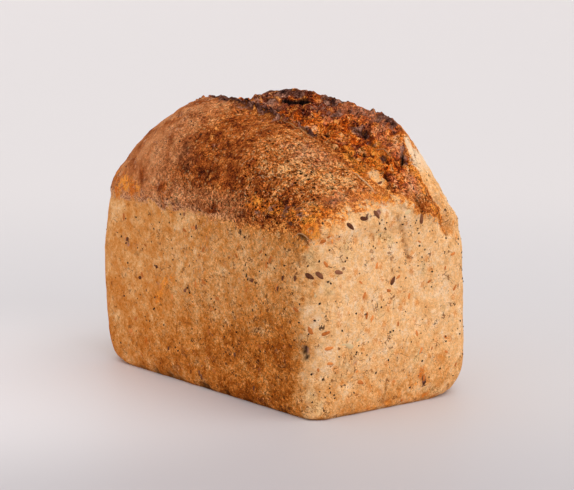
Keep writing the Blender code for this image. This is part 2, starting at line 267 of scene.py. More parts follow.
def loaf_grid():
    """The smooth form: its points, their three measures from crown_column, and its faces."""
    points, measures, faces = [], [], []
    columns = []
    for share in column_shares():
        column = crown_column(share)
        columns.append(range(len(points), len(points) + len(column)))
        points += [point for point, _ in column]
        measures += [measure for _, measure in column]
    for left, right in zip(columns, columns[1:]):
        for j in range(len(left) - 1):
            faces.append((left[j], right[j], right[j + 1], left[j + 1]))
    rim = [column[0] for column in columns]
    rim += columns[-1][1:]
    rim += [column[-1] for column in reversed(columns[:-1])]
    rim += list(reversed(columns[0][1:-1]))

    def ring_under(tops, share_down, foot_angle):
        first = len(points)
        for k in tops:
            points.append(wall_point(points[k], share_down, foot_angle))
            side = sign(points[k][1])
            measures.append((0.0, side * FAR_AWAY, side * FAR_AWAY))
        return range(first, len(points))

    # Under the crown each ring has half as many points as the rim
    tops = rim[::2]
    steps = [(k / WALL_ROWS, 0.0) for k in range(1, WALL_ROWS + 1)]
    steps += [(1.0, k / FOOT_ROWS * math.pi / 2) for k in range(1, FOOT_ROWS + 1)]
    above = ring_under(tops, *steps[0])
    count = len(above)
    for k in range(count):
        after = (k + 1) % count
        faces.append((rim[2 * after], rim[2 * k + 1], rim[2 * k], above[k], above[after]))
    for step in steps[1:]:
        ring = ring_under(tops, *step)
        for k in range(count):
            after = (k + 1) % count
            faces.append((above[after], above[k], ring[k], ring[after]))
        above = ring
    faces.append(tuple(reversed(above)))
    return np.array(points), np.array(measures), faces


def noise_places(points, size, seed):
    """The points as places in noise whose features have this size; a seed is a shift in it."""
    shift = Vector((seed, 1.7 * seed, -seed))
    return [Vector(p) + shift for p in points / size]


def waves(points, size, seed=0.0):
    """Smooth noise, about -1 to 1."""
    return np.array([noise.noise(place) for place in noise_places(points, size, seed)])


def crags(points, size, seed=0.0):
    """Broken crumb, about -1 to 1: chunky lumps with sharp gaps."""
    nearest, second = np.array([
        noise.voronoi(place)[0][:2] for place in noise_places(points, size, seed)
    ]).T
    chunk = np.minimum(1.0, (second - nearest) * CRAG_SHARPNESS)
    rough = CRAG_ROUGHNESS * waves(points, CRAG_ROUGHNESS_SIZE * size, seed)
    return CRAG_GAP + (CRAG_TOP - CRAG_GAP) * chunk + rough


def broken(points, size, seed):
    """Torn crumb, about -1 to 1: ridges and hollows of every scale down to a sixth of the size."""
    return np.array([
        noise.ridged_multi_fractal(place, *BROKEN_CRUMB) - 1.0
        for place in noise_places(points, size, seed)
    ])


def bump_at(distance, reach):
    """1 at distance 0, fading to nothing past the reach."""
    return np.exp(-(distance / reach) ** 2)


def segment_apart(points, start, end):
    """Distance from points to the straight line between two places."""
    way = np.subtract(end, start)
    t = np.clip((points - start) @ way / max(way @ way, TOUCHING ** 2), 0.0, 1.0)
    return np.linalg.norm(points - start - t[:, None] * way, axis=1)


def fold_depth(points):
    """How deep the folds of the +X end cut in."""
    depth = np.zeros(len(points))
    for start, end, half_width, deep in END_FOLDS:
        apart = segment_apart(points[:, 1:], start, end)
        depth = np.maximum(depth, deep * bump_at(apart, half_width))
    return depth * (points[:, 0] >= FOLDS_FROM)


def rim_heights(points):
    """The near and far rim's heights at the points' places along the loaf."""
    shares = np.linspace(-1, 1, 201)
    places = np.sin(shares * math.pi / 2) * HALF_LENGTH
    return (
        np.interp(points[:, 0], places, [along(rim, share)[0] for share in shares])
        for rim in (NEAR_RIM, FAR_RIM)
    )


def rim_bulge(points, torn):
    """The roll of crust above the rim and the pinch under it, uneven along the loaf."""
    across = smooth(0.5 + points[:, 1] / HALF_WIDTH)
    near_rim, far_rim = rim_heights(points)
    above = (points[:, 2] - near_rim * (1 - across) - far_rim * across) / ROLL_BAND
    uneven = ROLL_EVEN + ROLL_UNEVEN * waves(points * (1, 1, 0), ROLL_UNEVEN_SIZE)
    roll = RIM_ROLL * bump_at(above - ROLL_AT, 1)
    pinch = RIM_PINCH * bump_at(PINCH_NARROWER * above - PINCH_AT, 1)
    return uneven * (roll - pinch) * (1 - torn)


def ease(value, start, end):
    """0 on the near side of start, 1 past end, and an S between. The end may be the lower."""
    return smooth((value - start) / (end - start))


def window(value, low, high, fade):
    """1 between low and high, with soft ends."""
    return smooth((value - low) / fade + 0.5) * smooth((high - value) / fade + 0.5)


def add_object(name, data):
    made = bpy.data.objects.new(name, data)
    bpy.context.scene.collection.objects.link(made)
    return made


def smooth_mesh(name, points, faces, material):
    mesh = bpy.data.meshes.new(name)
    mesh.from_pydata(points, [], faces)
    mesh.shade_smooth()
    mesh.materials.append(material)
    return mesh


def add_piece(name, points, faces, values, material, slot):
    """A mesh piece of the loaf, with the values at its points that its material reads."""
    mesh = smooth_mesh(name, points.tolist(), faces, material)
    for key, at_points in values.items():
        mesh.attributes.new(key, "FLOAT", "POINT").data.foreach_set(
            "value", np.ascontiguousarray(at_points, dtype=np.float32)
        )
    piece = add_object(name, mesh)
    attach(piece, "root")
    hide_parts("loaf")


# Where the browned crust ends: heights along the long sides and across the end walls
SIDE_LINE = ((-0.096, 0.098), (-0.06, 0.0975), (-0.02, 0.0955), (0.04, 0.0935), (0.096, 0.0945))
END_LINE = (
    (-0.054, 0.0945), (-0.043, 0.0990), (-0.035, 0.1040), (-0.026, 0.1078), (-0.015, 0.1090),
    (-0.004, 0.1080), (0.008, 0.1050), (0.017, 0.0995), (0.025, 0.0970), (0.034, 0.0875),
    (0.054, 0.0840),
)
FAR_LINE = ((-0.096, 0.096), (0.0, 0.090), (0.096, 0.088))
# Where the pale flank behind the ear begins at the +X end: y at each height
FLANK_LINE = (
    (0.084, 0.034), (0.092, 0.031), (0.101, 0.0275), (0.107, 0.0225), (0.115, 0.0180),
    (0.1215, 0.0172), (0.130, 0.0170), (0.137, 0.0205), (0.145, 0.0235),
)

# Single features of the skin, in millimetres: (x, y, z, x, y, z, reach, strength) for a line
# from place to place, (x, y, z, reach, strength) for a spot. For pits the strength is the depth
PITS = (
    (-13.5, -3, 143.2, -9.5, -3.7, 142.5, 2, 1.8),
    (-8, 10, 147, -1, 10.5, 147, 2.1, 2.6),
    (0, 10.5, 147, 7, 12, 147.2, 2.6, 3),
    (21.5, -20.5, 138.5, 23.7, -20.9, 138.1, 1.1, 0.6),
    (9.2, -49, 118.5, 9.5, -49.5, 116, 1, 0.7),
    (81.4, 3.1, 118.6, 85.1, 2.6, 115, 0.9, 1.2),
    (85.1, 2.6, 115, 91.7, -3.2, 112.1, 1, 1.6),
    (91.7, -3.2, 112.1, 94.1, -7.9, 108.8, 0.6, 0.6),
    (96.7, -5.4, 99.8, 96.9, -3, 102.1, 0.7, 0.5),
    (96.9, -2, 102.6, 96.9, 2.4, 103.1, 0.6, 0.3),
    (86.3, -52.6, 83, 87, -52.4, 77, 0.8, 0.7),
    (82.6, -53.6, 89.8, 85, -53, 85, 0.7, 0.7),
    (76.1, -10.9, 121.7, 81.3, -8.1, 119.5, 0.8, 0.7),
    (86.8, -52.6, 36.6, 86.4, -52.7, 34, 1.3, 1.6),
    (87.6, -52.2, 32.5, 87.2, -52.4, 31, 1.2, 1.4),
    (83.8, -53, 91.8, 85.5, -52.2, 90.8, 1.5, 1.4),
)
# Creases of the skin: sunk into it, and each painted with a line of shade
CREASES = (
    (93.5, 26.2, 103.1, 96.7, 27.1, 96.2, 1, 0.9),
    (96.7, 27.1, 96.2, 95, 32.5, 86, 1.2, 1),
    (95.1, 12.6, 105.5, 96, 16.1, 97.6, 1, 0.9),
    (96.5, -1.2, 97.8, 95.1, 4.6, 88.5, 1.2, 0.7),
    (95.1, 4.6, 88.5, 95.4, 6.8, 77, 1.2, 0.55),
    (96.8, 0.4, 103, 97.1, 6.8, 101, 1, 0.6),
    (97.1, 6.8, 101, 96.8, 12.6, 96, 1, 0.5),
    (95.5, -5.9, 14.9, 95, -9.2, 4, 0.9, 0.6),
    (80.2, -54.1, 89, 81.6, -54, 84.7, 1.2, 0.7),
    (81.6, -54, 84.7, 83.5, -53.7, 79, 1.2, 0.6),
)
# Charred spots of the crust, and two spots of painted shade in a hollow and a pit
CHARS_AND_PIT_SHADE = (
    (-29.7, -15, 148, -17.8, -6, 145, 3.2, 0.9),
    (-17.8, -4, 145, -6.5, -3.6, 142.3, 4.6, 1),
    (-6.5, -5, 142.3, 15.4, -6, 140.5, 3.6, 1),
    (15.4, -7, 140.5, 43.5, -11.2, 135.5, 2.7, 0.9),
    (-38, 16.5, 148, -6, 19, 150, 6.5, 0.7),
    (-62, 10, 140, -42, 14, 146, 8, 0.7),
    (-33, 6, 146.5, -12, 9, 148.5, 5, 0.65),
    (22.4, 19.9, 149, 27, 19.9, 148.7, 3.4, 1),
    (60, 20.5, 142.8, 69, 20.5, 140.5, 3.6, 1),
    (52, 10, 137, 56, 10, 136, 3, 0.8),
    (60, 9.5, 134.5, 67, 7, 130.3, 2.6, 0.7),
    # painted shade in a hollow of the tear
    (76.2, 6.8, 125.2, 77.5, 6, 124.5, 2.2, 0.9),
    (31.8, 12.2, 142.3, 2.8, 0.9),
    (37.6, 17.5, 144, 2.4, 0.9),
    (48.2, 10, 137.6, 2.2, 0.9),
    (73.5, 17.2, 135.5, 77.5, 17, 132, 2, 0.6),
    (79, 16.2, 129.6, 80.1, 16.9, 128.6, 1.6, 0.8),
    (82.5, 15.5, 125, 84.2, 15, 123, 1.8, 0.8),
    (76, -48, 104, 80, -49.9, 101.5, 2, 0.6),
    (69, -50, 104.5, 70, -52.7, 100.5, 2.2, 0.6),
    (50, -53.5, 101, 56, -53.5, 99.5, 1.8, 0.6),
    (60, -53, 102, 62, -51.5, 105, 1.8, 0.6),
    (96.3, 17.7, 13, 96, 18.7, 9.7, 1.4, 0.9),
    (-65, -54.8, 72, -64, -54.8, 70, 1.8, 0.65),
    # painted shade in the pit by the near upright corner
    (86.8, -52.6, 37, 87.6, -52.2, 31, 1.6, 0.65),
    (18, 11, 145.5, 33, 13, 144, 5.5, 0.45),
    (97.2, -22.8, 99.2, 96.5, -18.8, 100.5, 1.6, 0.6),
    (-1, -53.5, 7.5, 4, -53.2, 2, 1.8, 0.7),
    (96.9, -16, 100.5, 96.9, -13.5, 101.8, 1.4, 0.6),
)
# Golden patches of the crust, and one of painted light that lifts the shade of a hollow in the tear
GOLDS_AND_LIGHT = (
    (86.3, -49.6, 98.8, 88.7, -50.3, 94.2, 4.6, 1),
    (83.5, -45, 103.5, 89, -40, 102, 6, 0.7),
    (69, 7, 129, 75, 6.5, 126, 4.4, 1),
    (74, -6, 124, 80, -12, 119.5, 5.5, 0.7),
    (86.4, 16.5, 121.5, 95, 18.5, 109, 2.4, 0.8),
    (96.9, 22, 101.8, 95.8, 30, 91, 2.2, 0.8),
    (-67.3, -54.1, 103.5, -72.7, -55.2, 97.5, 5, 0.8),
    (-79, -50, 104, -56, -55, 100, 7, 0.6),
    (45, -53, 104, 78, -50, 101, 6, 0.55),
    (20, 4, 140, 42, 0, 137, 5, 0.45),
    (-28.5, -54.2, 56, -38.5, -54.4, 41.5, 2.6, 0.75),
    (-28.5, -54.2, 56, -22.5, -54.2, 55, 1.8, 0.6),
    (-46.9, -54.8, 19.5, -48.2, -54.8, 14.5, 2, 0.6),
    (18.2, -54.8, 50.6, 2.2, 0.7),
    (-80, -53, 44, -79, -53, 38, 2.6, 0.4),
    (96, 16.5, 16.5, 96, 15, 11, 4, 0.5),
    (74, 3, 124.5, 79, 0, 121.5, 4, 0.9),
    (89, -23, 111, 95, -8, 106.5, 4.5, 0.55),
    (83.8, -53.2, 87.4, 95.6, -40.8, 92.1, 5, 0.5),
    # painted light, lifting the shade of a hollow in the tear
    (56.6, -1.8, 127.8, 68.2, -8.3, 125.3, 5, 0.6),
    (95, -26, 1, 94.5, 45, 3, 6, 0.36),
)
PINKS = (
    (31, 19.5, 147.2, 68, 20.5, 140.5, 5, 0.6),
    (74.4, 11, 130.2, 80.2, 13, 128, 3.6, 0.3),
    (49.9, -25, 129.5, 60, -24, 125.5, 7.5, 0.45),
    (86, -35, 107.5, 90, -18, 109, 6, 0.25),
    (88, 12, 117, 93, 14, 111, 3, 0.7),
    (-6.4, 4.9, 144.5, -12, 4.9, 145, 3, 0.9),
)
BARES = (
    (83.2, -6, 119.3, 89.2, -6, 114.8, 3.7, 1),
)
# Olive smudges of the skin, and one line of painted shade under the crown's rim
SMUDGES_AND_RIM_SHADE = (
    (88.6, -50.8, 86.5, 88.8, -51, 78, 3.6, 0.9),
    (95.3, -15, 90, 95.3, -5, 87, 4, 0.8),
    (96.5, -35.1, 85.7, 96.3, -30.4, 81.2, 3.6, 0.6),
    (96.2, 16.9, 72.4, 96, 17.2, 67.2, 2.8, 0.8),
    (94.8, -45.1, 67.6, 94.5, -44.5, 64, 2.6, 0.7),
    (96.4, 12.6, 28.4, 96.4, 12.6, 24.3, 2.8, 0.9),
    (88.7, -50.7, 13, 92.6, -48.8, 6.9, 3.6, 0.9),
    (95.8, 19.6, 6.9, 94.6, 32, 4, 3.2, 0.9),
    # painted shade under the crown's rim on the -Y side
    (-21.6, -55.2, 96.8, 74, -54.3, 92.5, 3.6, 0.4),
)
DARKS = (
    (-26, 12.5, 148.5, 0, 17, 149, 7.5, 0.8),
    (33, 15, 144, 48, 11, 138, 5, 0.7),
    (60, 9, 134.5, 69, 6.5, 130, 5, 0.8),
    (-23, -48.7, 121.1, -18.9, -47.1, 124, 5, 0.9),
    (-14, -49.9, 117.4, 2.5, -51.1, 113.3, 5.5, 0.8),
    (38, -53, 105, 70, -51.5, 103, 7, 0.35),
    (20, 17, 148, 68, 18, 139.5, 5, 0.5),
    (17.4, 10.4, 145.5, 32, 15.3, 144.2, 6, 0.9),
    (35.4, -46.9, 119, 51.4, -49.7, 110.7, 9, 0.35),
)
# Patches of the walls that are baked more or less than the rest, with the change as strength
BAKES = (
    (-90, -54.5, 88, -20, -54.8, 85, 9, -0.015),
    (-60, -54.8, 70, -42, -54.8, 68, 11, 0.018),
    (44, -54.8, 86, 42, -54.8, 52, 10, -0.04),
    (15, -54.8, 50, 35, -54.8, 48, 8, -0.02),
    (-76, -53.5, 28, -74, -53.5, 4, 9, -0.05),
    (-30, -54.8, 26.3, -17, -54, 20, 10, 0.035),
    (95.5, 2, 20, 95.5, 25, 20, 12, 0.02),
    (95, -20, 4, 95, 35, 4, 6, 0.02),
    (90, -50, 10, 95, -44, 4, 8, 0.03),
    (95, 28, 88, 94, 38, 82, 8, 0.05),
    (83.8, -53.2, 87.4, 92, -47.4, 89.4, 6, 0.05),
)
LIGHTS = (
    (59.3, -32.3, 122.8, 76, -33, 114, 13, 0.95),
    (-26.6, -54.1, 107.9, -27.5, -55.5, 99.8, 6, 0.4),
    (85, 15, 122, 94.5, 16, 108, 4.5, 0.9),
)
# In metres again. How much the crumb behind the near edge stands up: x, height
NEAR_LIP = (
    (-0.040, 0.0), (-0.028, 0.0008), (-0.017, 0.0036), (-0.006, 0.0062), (0.004, 0.0062),
    (0.011, 0.0042), (0.020, 0.0015), (0.030, 0.0),
)
# At the foot of the -Y side: x, half width, share of the full depth
FOOT_NOTCHES = (
    (-0.0560, 0.0045, 0.40), (-0.0414, 0.0022, 1.00), (-0.0290, 0.0040, 0.80),
    (-0.0200, 0.0034, 0.60), (0.0003, 0.0024, 0.90), (0.0046, 0.0026, 1.00),
    (0.0215, 0.0026, 0.90), (0.0390, 0.0034, 0.30), (0.0540, 0.0028, 0.30), (0.0700, 0.0030, 0.35),
)
# Where a corner swells: its middle, its reach and its rise
SWELLS = (((0.0880, 0.0460, 0.0780), 0.015, 0.0030), ((-0.0880, -0.0500, 0.0860), 0.014, 0.0016))

# Layers of waves: the height, the size of the features and the seed of each. The first two
# are relief, the others make borders ragged
SKIN_WAVES = ((0.00050, 0.0050, 2.2), (0.00035, 0.0027, 5.2), (0.00036, 0.0016, 9.2))
WALL_WAVES = ((0.00022, 0.0040, 8.4), (0.00050, 0.0140, 4.4))
MARK_RAGS = ((0.0011, 0.0022, 12.6),)
NOTCH_RAGS = ((0.003, 0.005, 3.3),)
RELIEF_RAGS = ((0.004, 0.009, 1.9),)
BROWN_RAGS = ((0.003, 0.012, 1.9),)
FLANK_RAGS = ((0.0015, 0.004, 2.7),)
FLANK_START_RAGS = ((0.012, 0.016, 15.2), (0.005, 0.005, 16.8))
TOAST_RAGS = ((0.005, 0.0045, 14.1),)

# Fine relief
CREASE_DEPTH = 0.0005
TEAR_RIDGES, TEAR_RIDGE_SIZE, TEAR_RIDGE_STRETCH = 0.0018, 0.0080, (0.7, 1, 1)
TEAR_GRAIN, TEAR_GRAIN_SIZE = 0.0007, 0.0020
EDGE_RAGS, EDGE_RAG_SIZE, EDGE_REACH = 0.0015, 0.0060, 0.005
PAST_NEAR_EDGE, BEFORE_EAR = 0.002, 0.002
MOTTLED_CORNER, MOTTLED_REACH = (0.0885, -0.0505), 0.007
MOTTLE_SIZE, MOTTLE_HEIGHT, MOTTLE_TOAST = 0.0030, 0.00035, 0.11
FOOT_BAND, FOOT_UNEVEN, FOOT_UNEVEN_SIZE = 0.008, 0.0007, 0.006
NOTCH_DEPTH, NOTCH_HEIGHT, NOTCHED_SIDE = 0.0021, 0.007, -0.04
# Along the ear, from and to in x: a smooth lump, a low stretch and a high one
EAR_LUMP, EAR_LUMP_REACH, EAR_LUMP_RISE, EAR_LUMP_CALM = (-0.038, -0.004), 0.008, 0.0010, 0.75
EAR_LOW, EAR_LOW_REACH, EAR_DROP = (-0.085, -0.040), 0.012, 0.0038
EAR_HIGH, EAR_HIGH_REACH, EAR_RISE = (0.052, 0.084), 0.010, 0.0017
EAR_FADE, EAR_HIGH_FADE = 0.008, 0.012
EAR_LUMP_EVEN, EAR_LUMP_UNEVEN_SIZE = 0.8, 0.0060
LIP_PAST_EDGE, LIP_REACH, LIP_UNEVEN, LIP_UNEVEN_SIZE = 0.0040, 0.0040, 0.5, 0.0045
RELIEF_FADE = 0.007
END_FROM, END_WHOLE = 0.074, 0.092
SIDE_BLEND = 0.06


def near_end(x):
    """0 along the middle of the loaf, rising to 1 at its two ends."""
    return ease(np.abs(x), END_FROM, END_WHOLE)


def on_line(line, values):
    """The height of a line of points at these values, straight from point to point."""
    return np.interp(values, *zip(*line))


def crust_line(points):
    """The height above which the skin is browned, at the points' places."""
    x, y, _ = points.T
    near, far = on_line(SIDE_LINE, x), on_line(FAR_LINE, x)
    side = near + (far - near) * smooth(0.5 + y / SIDE_BLEND)
    return side + (on_line(END_LINE, y) - side) * near_end(x)


def rags(points, layers):
    """The sum of these layers of waves at the points."""
    return sum(height * waves(points, size, seed) for height, size, seed in layers)


def in_metres(mark):
    """A mark's two ends and its reach in metres, and its strength."""
    *places, reach, strength = mark
    places = np.array(places) / MM_PER_METRE
    return places[:3], places[-3:], reach / MM_PER_METRE, strength


def marked(points, marks):
    """How strongly each point is marked by any of these features."""
    strength = np.zeros(len(points))
    ragged = rags(points, MARK_RAGS)
    for start, end, reach, amount in map(in_metres, marks):
        apart = np.maximum(0.0, segment_apart(points, start, end) + ragged)
        strength = np.maximum(strength, amount * bump_at(apart, reach))
    return strength


def corner_mottle(points):
    """Waves on the skin round the near upright corner, from -1 to 1, fading away from it."""
    apart = np.linalg.norm(points[:, :2] - MOTTLED_CORNER, axis=1)
    return bump_at(apart, MOTTLED_REACH) * waves(points * (1, 1, 0.5), MOTTLE_SIZE, 18.2)


def foot_notches(points):
    """How notched the bottom edge is, 0 to 1."""
    x, y, z = points.T
    notches = sum(share * bump_at(x - place, width) for place, width, share in FOOT_NOTCHES)
    height = NOTCH_HEIGHT + rags(points, NOTCH_RAGS)
    return notches * (y < NOTCHED_SIDE) * ease(z, height, 0.0)


class Body:
    """The loaf's points with what the relief and the finish need to know of them."""

    def __init__(self):
        self.smooth_points, measures, self.faces = loaf_grid()
        self.torn, self.past_near, self.past_ear = measures.T
        mesh = bpy.data.meshes.new("form")
        mesh.from_pydata(self.smooth_points.tolist(), [], self.faces)
        self.normals = np.array([vert.normal for vert in mesh.vertices])
        bpy.data.meshes.remove(mesh)
        self.lump = window(self.smooth_points[:, 0], *EAR_LUMP, EAR_FADE)
        self.lump *= bump_at(self.past_ear + BEFORE_EAR, EAR_LUMP_REACH)


def skin_relief(body):
    """How far each point moves out along its normal, before pits and creases."""
    p, torn = body.smooth_points, body.torn
    x, y, z = p.T
    calm = smooth(z / CALM_BELOW)
    crown = smooth((z - CRUST_FROM) / CRUST_OVER)
    out = LUMP_HEIGHT * calm * waves(p, LUMP_SIZE)
    out += CRUST_HEIGHT * crown * (1 - torn) * waves(p, CRUST_SIZE)
    out += rim_bulge(p, torn)

    # Finer relief than the solid's
    browned = smooth((z - crust_line(p) + rags(p, RELIEF_RAGS)) / RELIEF_FADE + 0.5)
    smoother = 0.6 * ease(x, -0.010, -0.070) * ease(y, 0.0, -0.030)
    wall = (1 - browned) * calm
    out += browned * (1 - torn) * (1 - smoother) * rags(p, SKIN_WAVES)
    out += wall * rags(p, WALL_WAVES)
    out += MOTTLE_HEIGHT * wall * corner_mottle(p)
    out -= ease(z, FOOT_BAND, 0.0) * FOOT_UNEVEN * (1 + waves(p * (1, 1, 0), FOOT_UNEVEN_SIZE, 7.3))
    out -= NOTCH_DEPTH * foot_notches(p)
    for place, reach, rise in SWELLS:
        out += rise * bump_at(np.linalg.norm(p - place, axis=1), reach)
    return out


def tear_relief(body):
    """How far each point of the tear and its edges is lifted, and its moves along the normal."""
    p, torn = body.smooth_points, body.torn
    x = p[:, 0]
    lift, out = np.zeros(len(p)), np.zeros(len(p))
    calmer = 1 - EAR_LUMP_CALM * body.lump
    tear = np.nonzero(torn > 0)[0]
    rough = (torn * calmer)[tear]
    lift[tear] = CRAG_HEIGHT * rough * crags(p[tear], CRAG_SIZE)
    lift[tear] += TEAR_RIDGES * rough * broken(p[tear] * TEAR_RIDGE_STRETCH, TEAR_RIDGE_SIZE, 3.1)
    out[tear] = TEAR_GRAIN * rough * waves(p[tear], TEAR_GRAIN_SIZE, 4.1)
    ragged = bump_at(body.past_near - PAST_NEAR_EDGE, EDGE_REACH) + bump_at(body.past_ear, EDGE_REACH)
    ragged = ragged * tear_weight(x) * calmer
    edge = np.nonzero(ragged > 0.02)[0]
    lift[edge] += EDGE_RAGS * ragged[edge] * (0.2 + broken(p[edge], EDGE_RAG_SIZE, 1.3))
    body.depth = lift / CRAG_HEIGHT
    uneven = EAR_LUMP_EVEN + waves(p, EAR_LUMP_UNEVEN_SIZE, 6.6)
    lift += EAR_LUMP_RISE * body.lump * uneven
    lip = on_line(NEAR_LIP, x) * bump_at(body.past_near - LIP_PAST_EDGE, LIP_REACH)
    lift += lip * (1 + LIP_UNEVEN * waves(p, LIP_UNEVEN_SIZE, 5.5))
    before_ear = body.past_ear + BEFORE_EAR
    lift -= EAR_DROP * window(x, *EAR_LOW, EAR_FADE) * bump_at(before_ear, EAR_LOW_REACH)
    lift += EAR_RISE * window(x, *EAR_HIGH, EAR_HIGH_FADE) * bump_at(body.past_ear, EAR_HIGH_REACH)
    return lift, out


def relief(body):
    """The loaf's points after its relief: the solid's own and the finer."""
    p, n = body.smooth_points, body.normals
    lift, grain = tear_relief(body)
    moved = p + n * (skin_relief(body) + grain)[:, None]
    moved[:, 0] -= fold_depth(p)
    moved[:, 2] += lift
    body.sunk = marked(moved, PITS) / MM_PER_METRE
    moved -= n * (body.sunk + CREASE_DEPTH * marked(moved, CREASES))[:, None]
    on_base = p[:, 2] < TOUCHING
    moved[on_base] = p[on_base]
    body.points = moved
    return moved


class Graph:
    """A material's node tree, with short calls for the nodes that this scene uses.

    A value is a number, a colour as (red, green, blue) or another node's output.
    """

    def __init__(self, name):
        self.material = bpy.data.materials.new(name)
        self.material.use_nodes = True
        self.tree = self.material.node_tree
        self.shader = self.tree.nodes["Principled BSDF"]
        self.place = self.node("ShaderNodeTexCoord").outputs["Object"]

    def put(self, socket, value):
        if isinstance(value, bpy.types.NodeSocket):
            self.tree.links.new(value, socket)
        elif socket.type == "RGBA":
            socket.default_value = (*value, 1.0)
        else:
            socket.default_value = value

    def node(self, kind, inputs=None, **settings):
        made = self.tree.nodes.new(kind)
        for key, value in settings.items():
            setattr(made, key, value)
        for key, value in (inputs or {}).items():
            self.put(made.inputs[key], value)
        return made

    def scaled_place(self, size, stretch, seed):
        return self.node("ShaderNodeMapping", {
            "Vector": self.place, "Scale": [1 / (size * s) for s in stretch],
            "Location": (seed, 2 * seed, -seed),
        }).outputs["Vector"]

    def spots(self, cell, low, high, share, wobble, stretch=(1, 1, 1), seed=0.0):
        """Spots in a share of the cells of this size: 1 within low and 0 past high cells away."""
        place = self.scaled_place(cell, stretch, seed)
        made = self.node("ShaderNodeTexVoronoi", {"Vector": place, "Scale": 1.0})
        draw = self.node("ShaderNodeSeparateColor", {"Color": made.outputs["Color"]})
        chosen = self.math("LESS_THAN", draw.outputs["Red"], share)
        apart = self.blend((made.outputs["Distance"], 1.0), (wobble, 1.2), plus=-0.6)
        return self.times(self.step(apart, high, low), chosen)

    def noise(self, size, detail, roughness, distortion=0.0, seed=0.0):
        """A noise pattern with features of this size in metres, about 0 to 1."""
        return self.node("ShaderNodeTexNoise", {
            "Vector": self.scaled_place(size, (1, 1, 1), seed), "Scale": 1.0, "Detail": detail,
            "Roughness": roughness, "Distortion": distortion,
        }).outputs["Fac"]

    def math(self, operation, *values):
        inputs = dict(enumerate(values))
        return self.node("ShaderNodeMath", inputs, operation=operation).outputs[0]

    def times(self, a, b):
        return self.math("MULTIPLY", a, b)

    def blend(self, *terms, plus=0.0):
        """The sum of (value, weight) terms and a number."""
        for value, weight in terms:
            plus = self.math("MULTIPLY_ADD", value, weight, plus)
        return plus

    def scale(self, colour, factor):
        inputs = {0: colour, "Scale": factor}
        return self.node("ShaderNodeVectorMath", inputs, operation="SCALE").outputs[0]

    def threads(self, pattern, width, where):
        """Thin winding lines along the middle values of a pattern, only where the other is high."""
        apart = self.math("ABSOLUTE", self.math("SUBTRACT", pattern, 0.5))
        return self.times(self.step(apart, width, 0.3 * width), self.step(where, 0.52, 0.58))

    def step(self, value, low, high):
        """0 below low, 1 above high, and an S between. Falls instead where low is above high."""
        inputs = {"Value": value, "From Min": low, "From Max": high}
        made = self.node("ShaderNodeMapRange", inputs, interpolation_type="SMOOTHSTEP")
        return made.outputs["Result"]

    def mix(self, factor, a, b):
        inputs = {"Factor": factor, 6: a, 7: b}
        return self.node("ShaderNodeMix", inputs, data_type="RGBA").outputs[2]

    def layers(self, colour, clear, *layers):
        """Lay (amount, colour, mask) layers over a colour, each only as far as clear says."""
        for amount, paint, mask in layers:
            colour = self.mix(self.times(self.times(mask, clear), amount), colour, paint)
        return colour

    def ramp(self, value, *stops):
        """The colour at this value on a ramp of (position, red, green, blue) stops."""
        made = self.node("ShaderNodeValToRGB", {"Fac": value})
        elements = made.color_ramp.elements
        while len(elements) < len(stops):
            elements.new(1.0)
        for element, (position, *colour) in zip(elements, stops):
            element.position = position
            element.color = (*colour, 1.0)
        return made.outputs["Color"]

    def attribute(self, name):
        return self.node("ShaderNodeAttribute", attribute_name=name).outputs["Fac"]

    def skin(self, colour, roughness, gloss, height, depth):
        """The material with this colour and finish, and bumps of this height map and depth."""
        bump = self.node("ShaderNodeBump", {"Height": height, "Distance": depth})
        for key, value in (
            ("Base Color", colour), ("Roughness", roughness), ("Specular IOR Level", gloss),
            ("Normal", bump.outputs["Normal"]),
        ):
            self.put(self.shader.inputs[key], value)
        return self.material


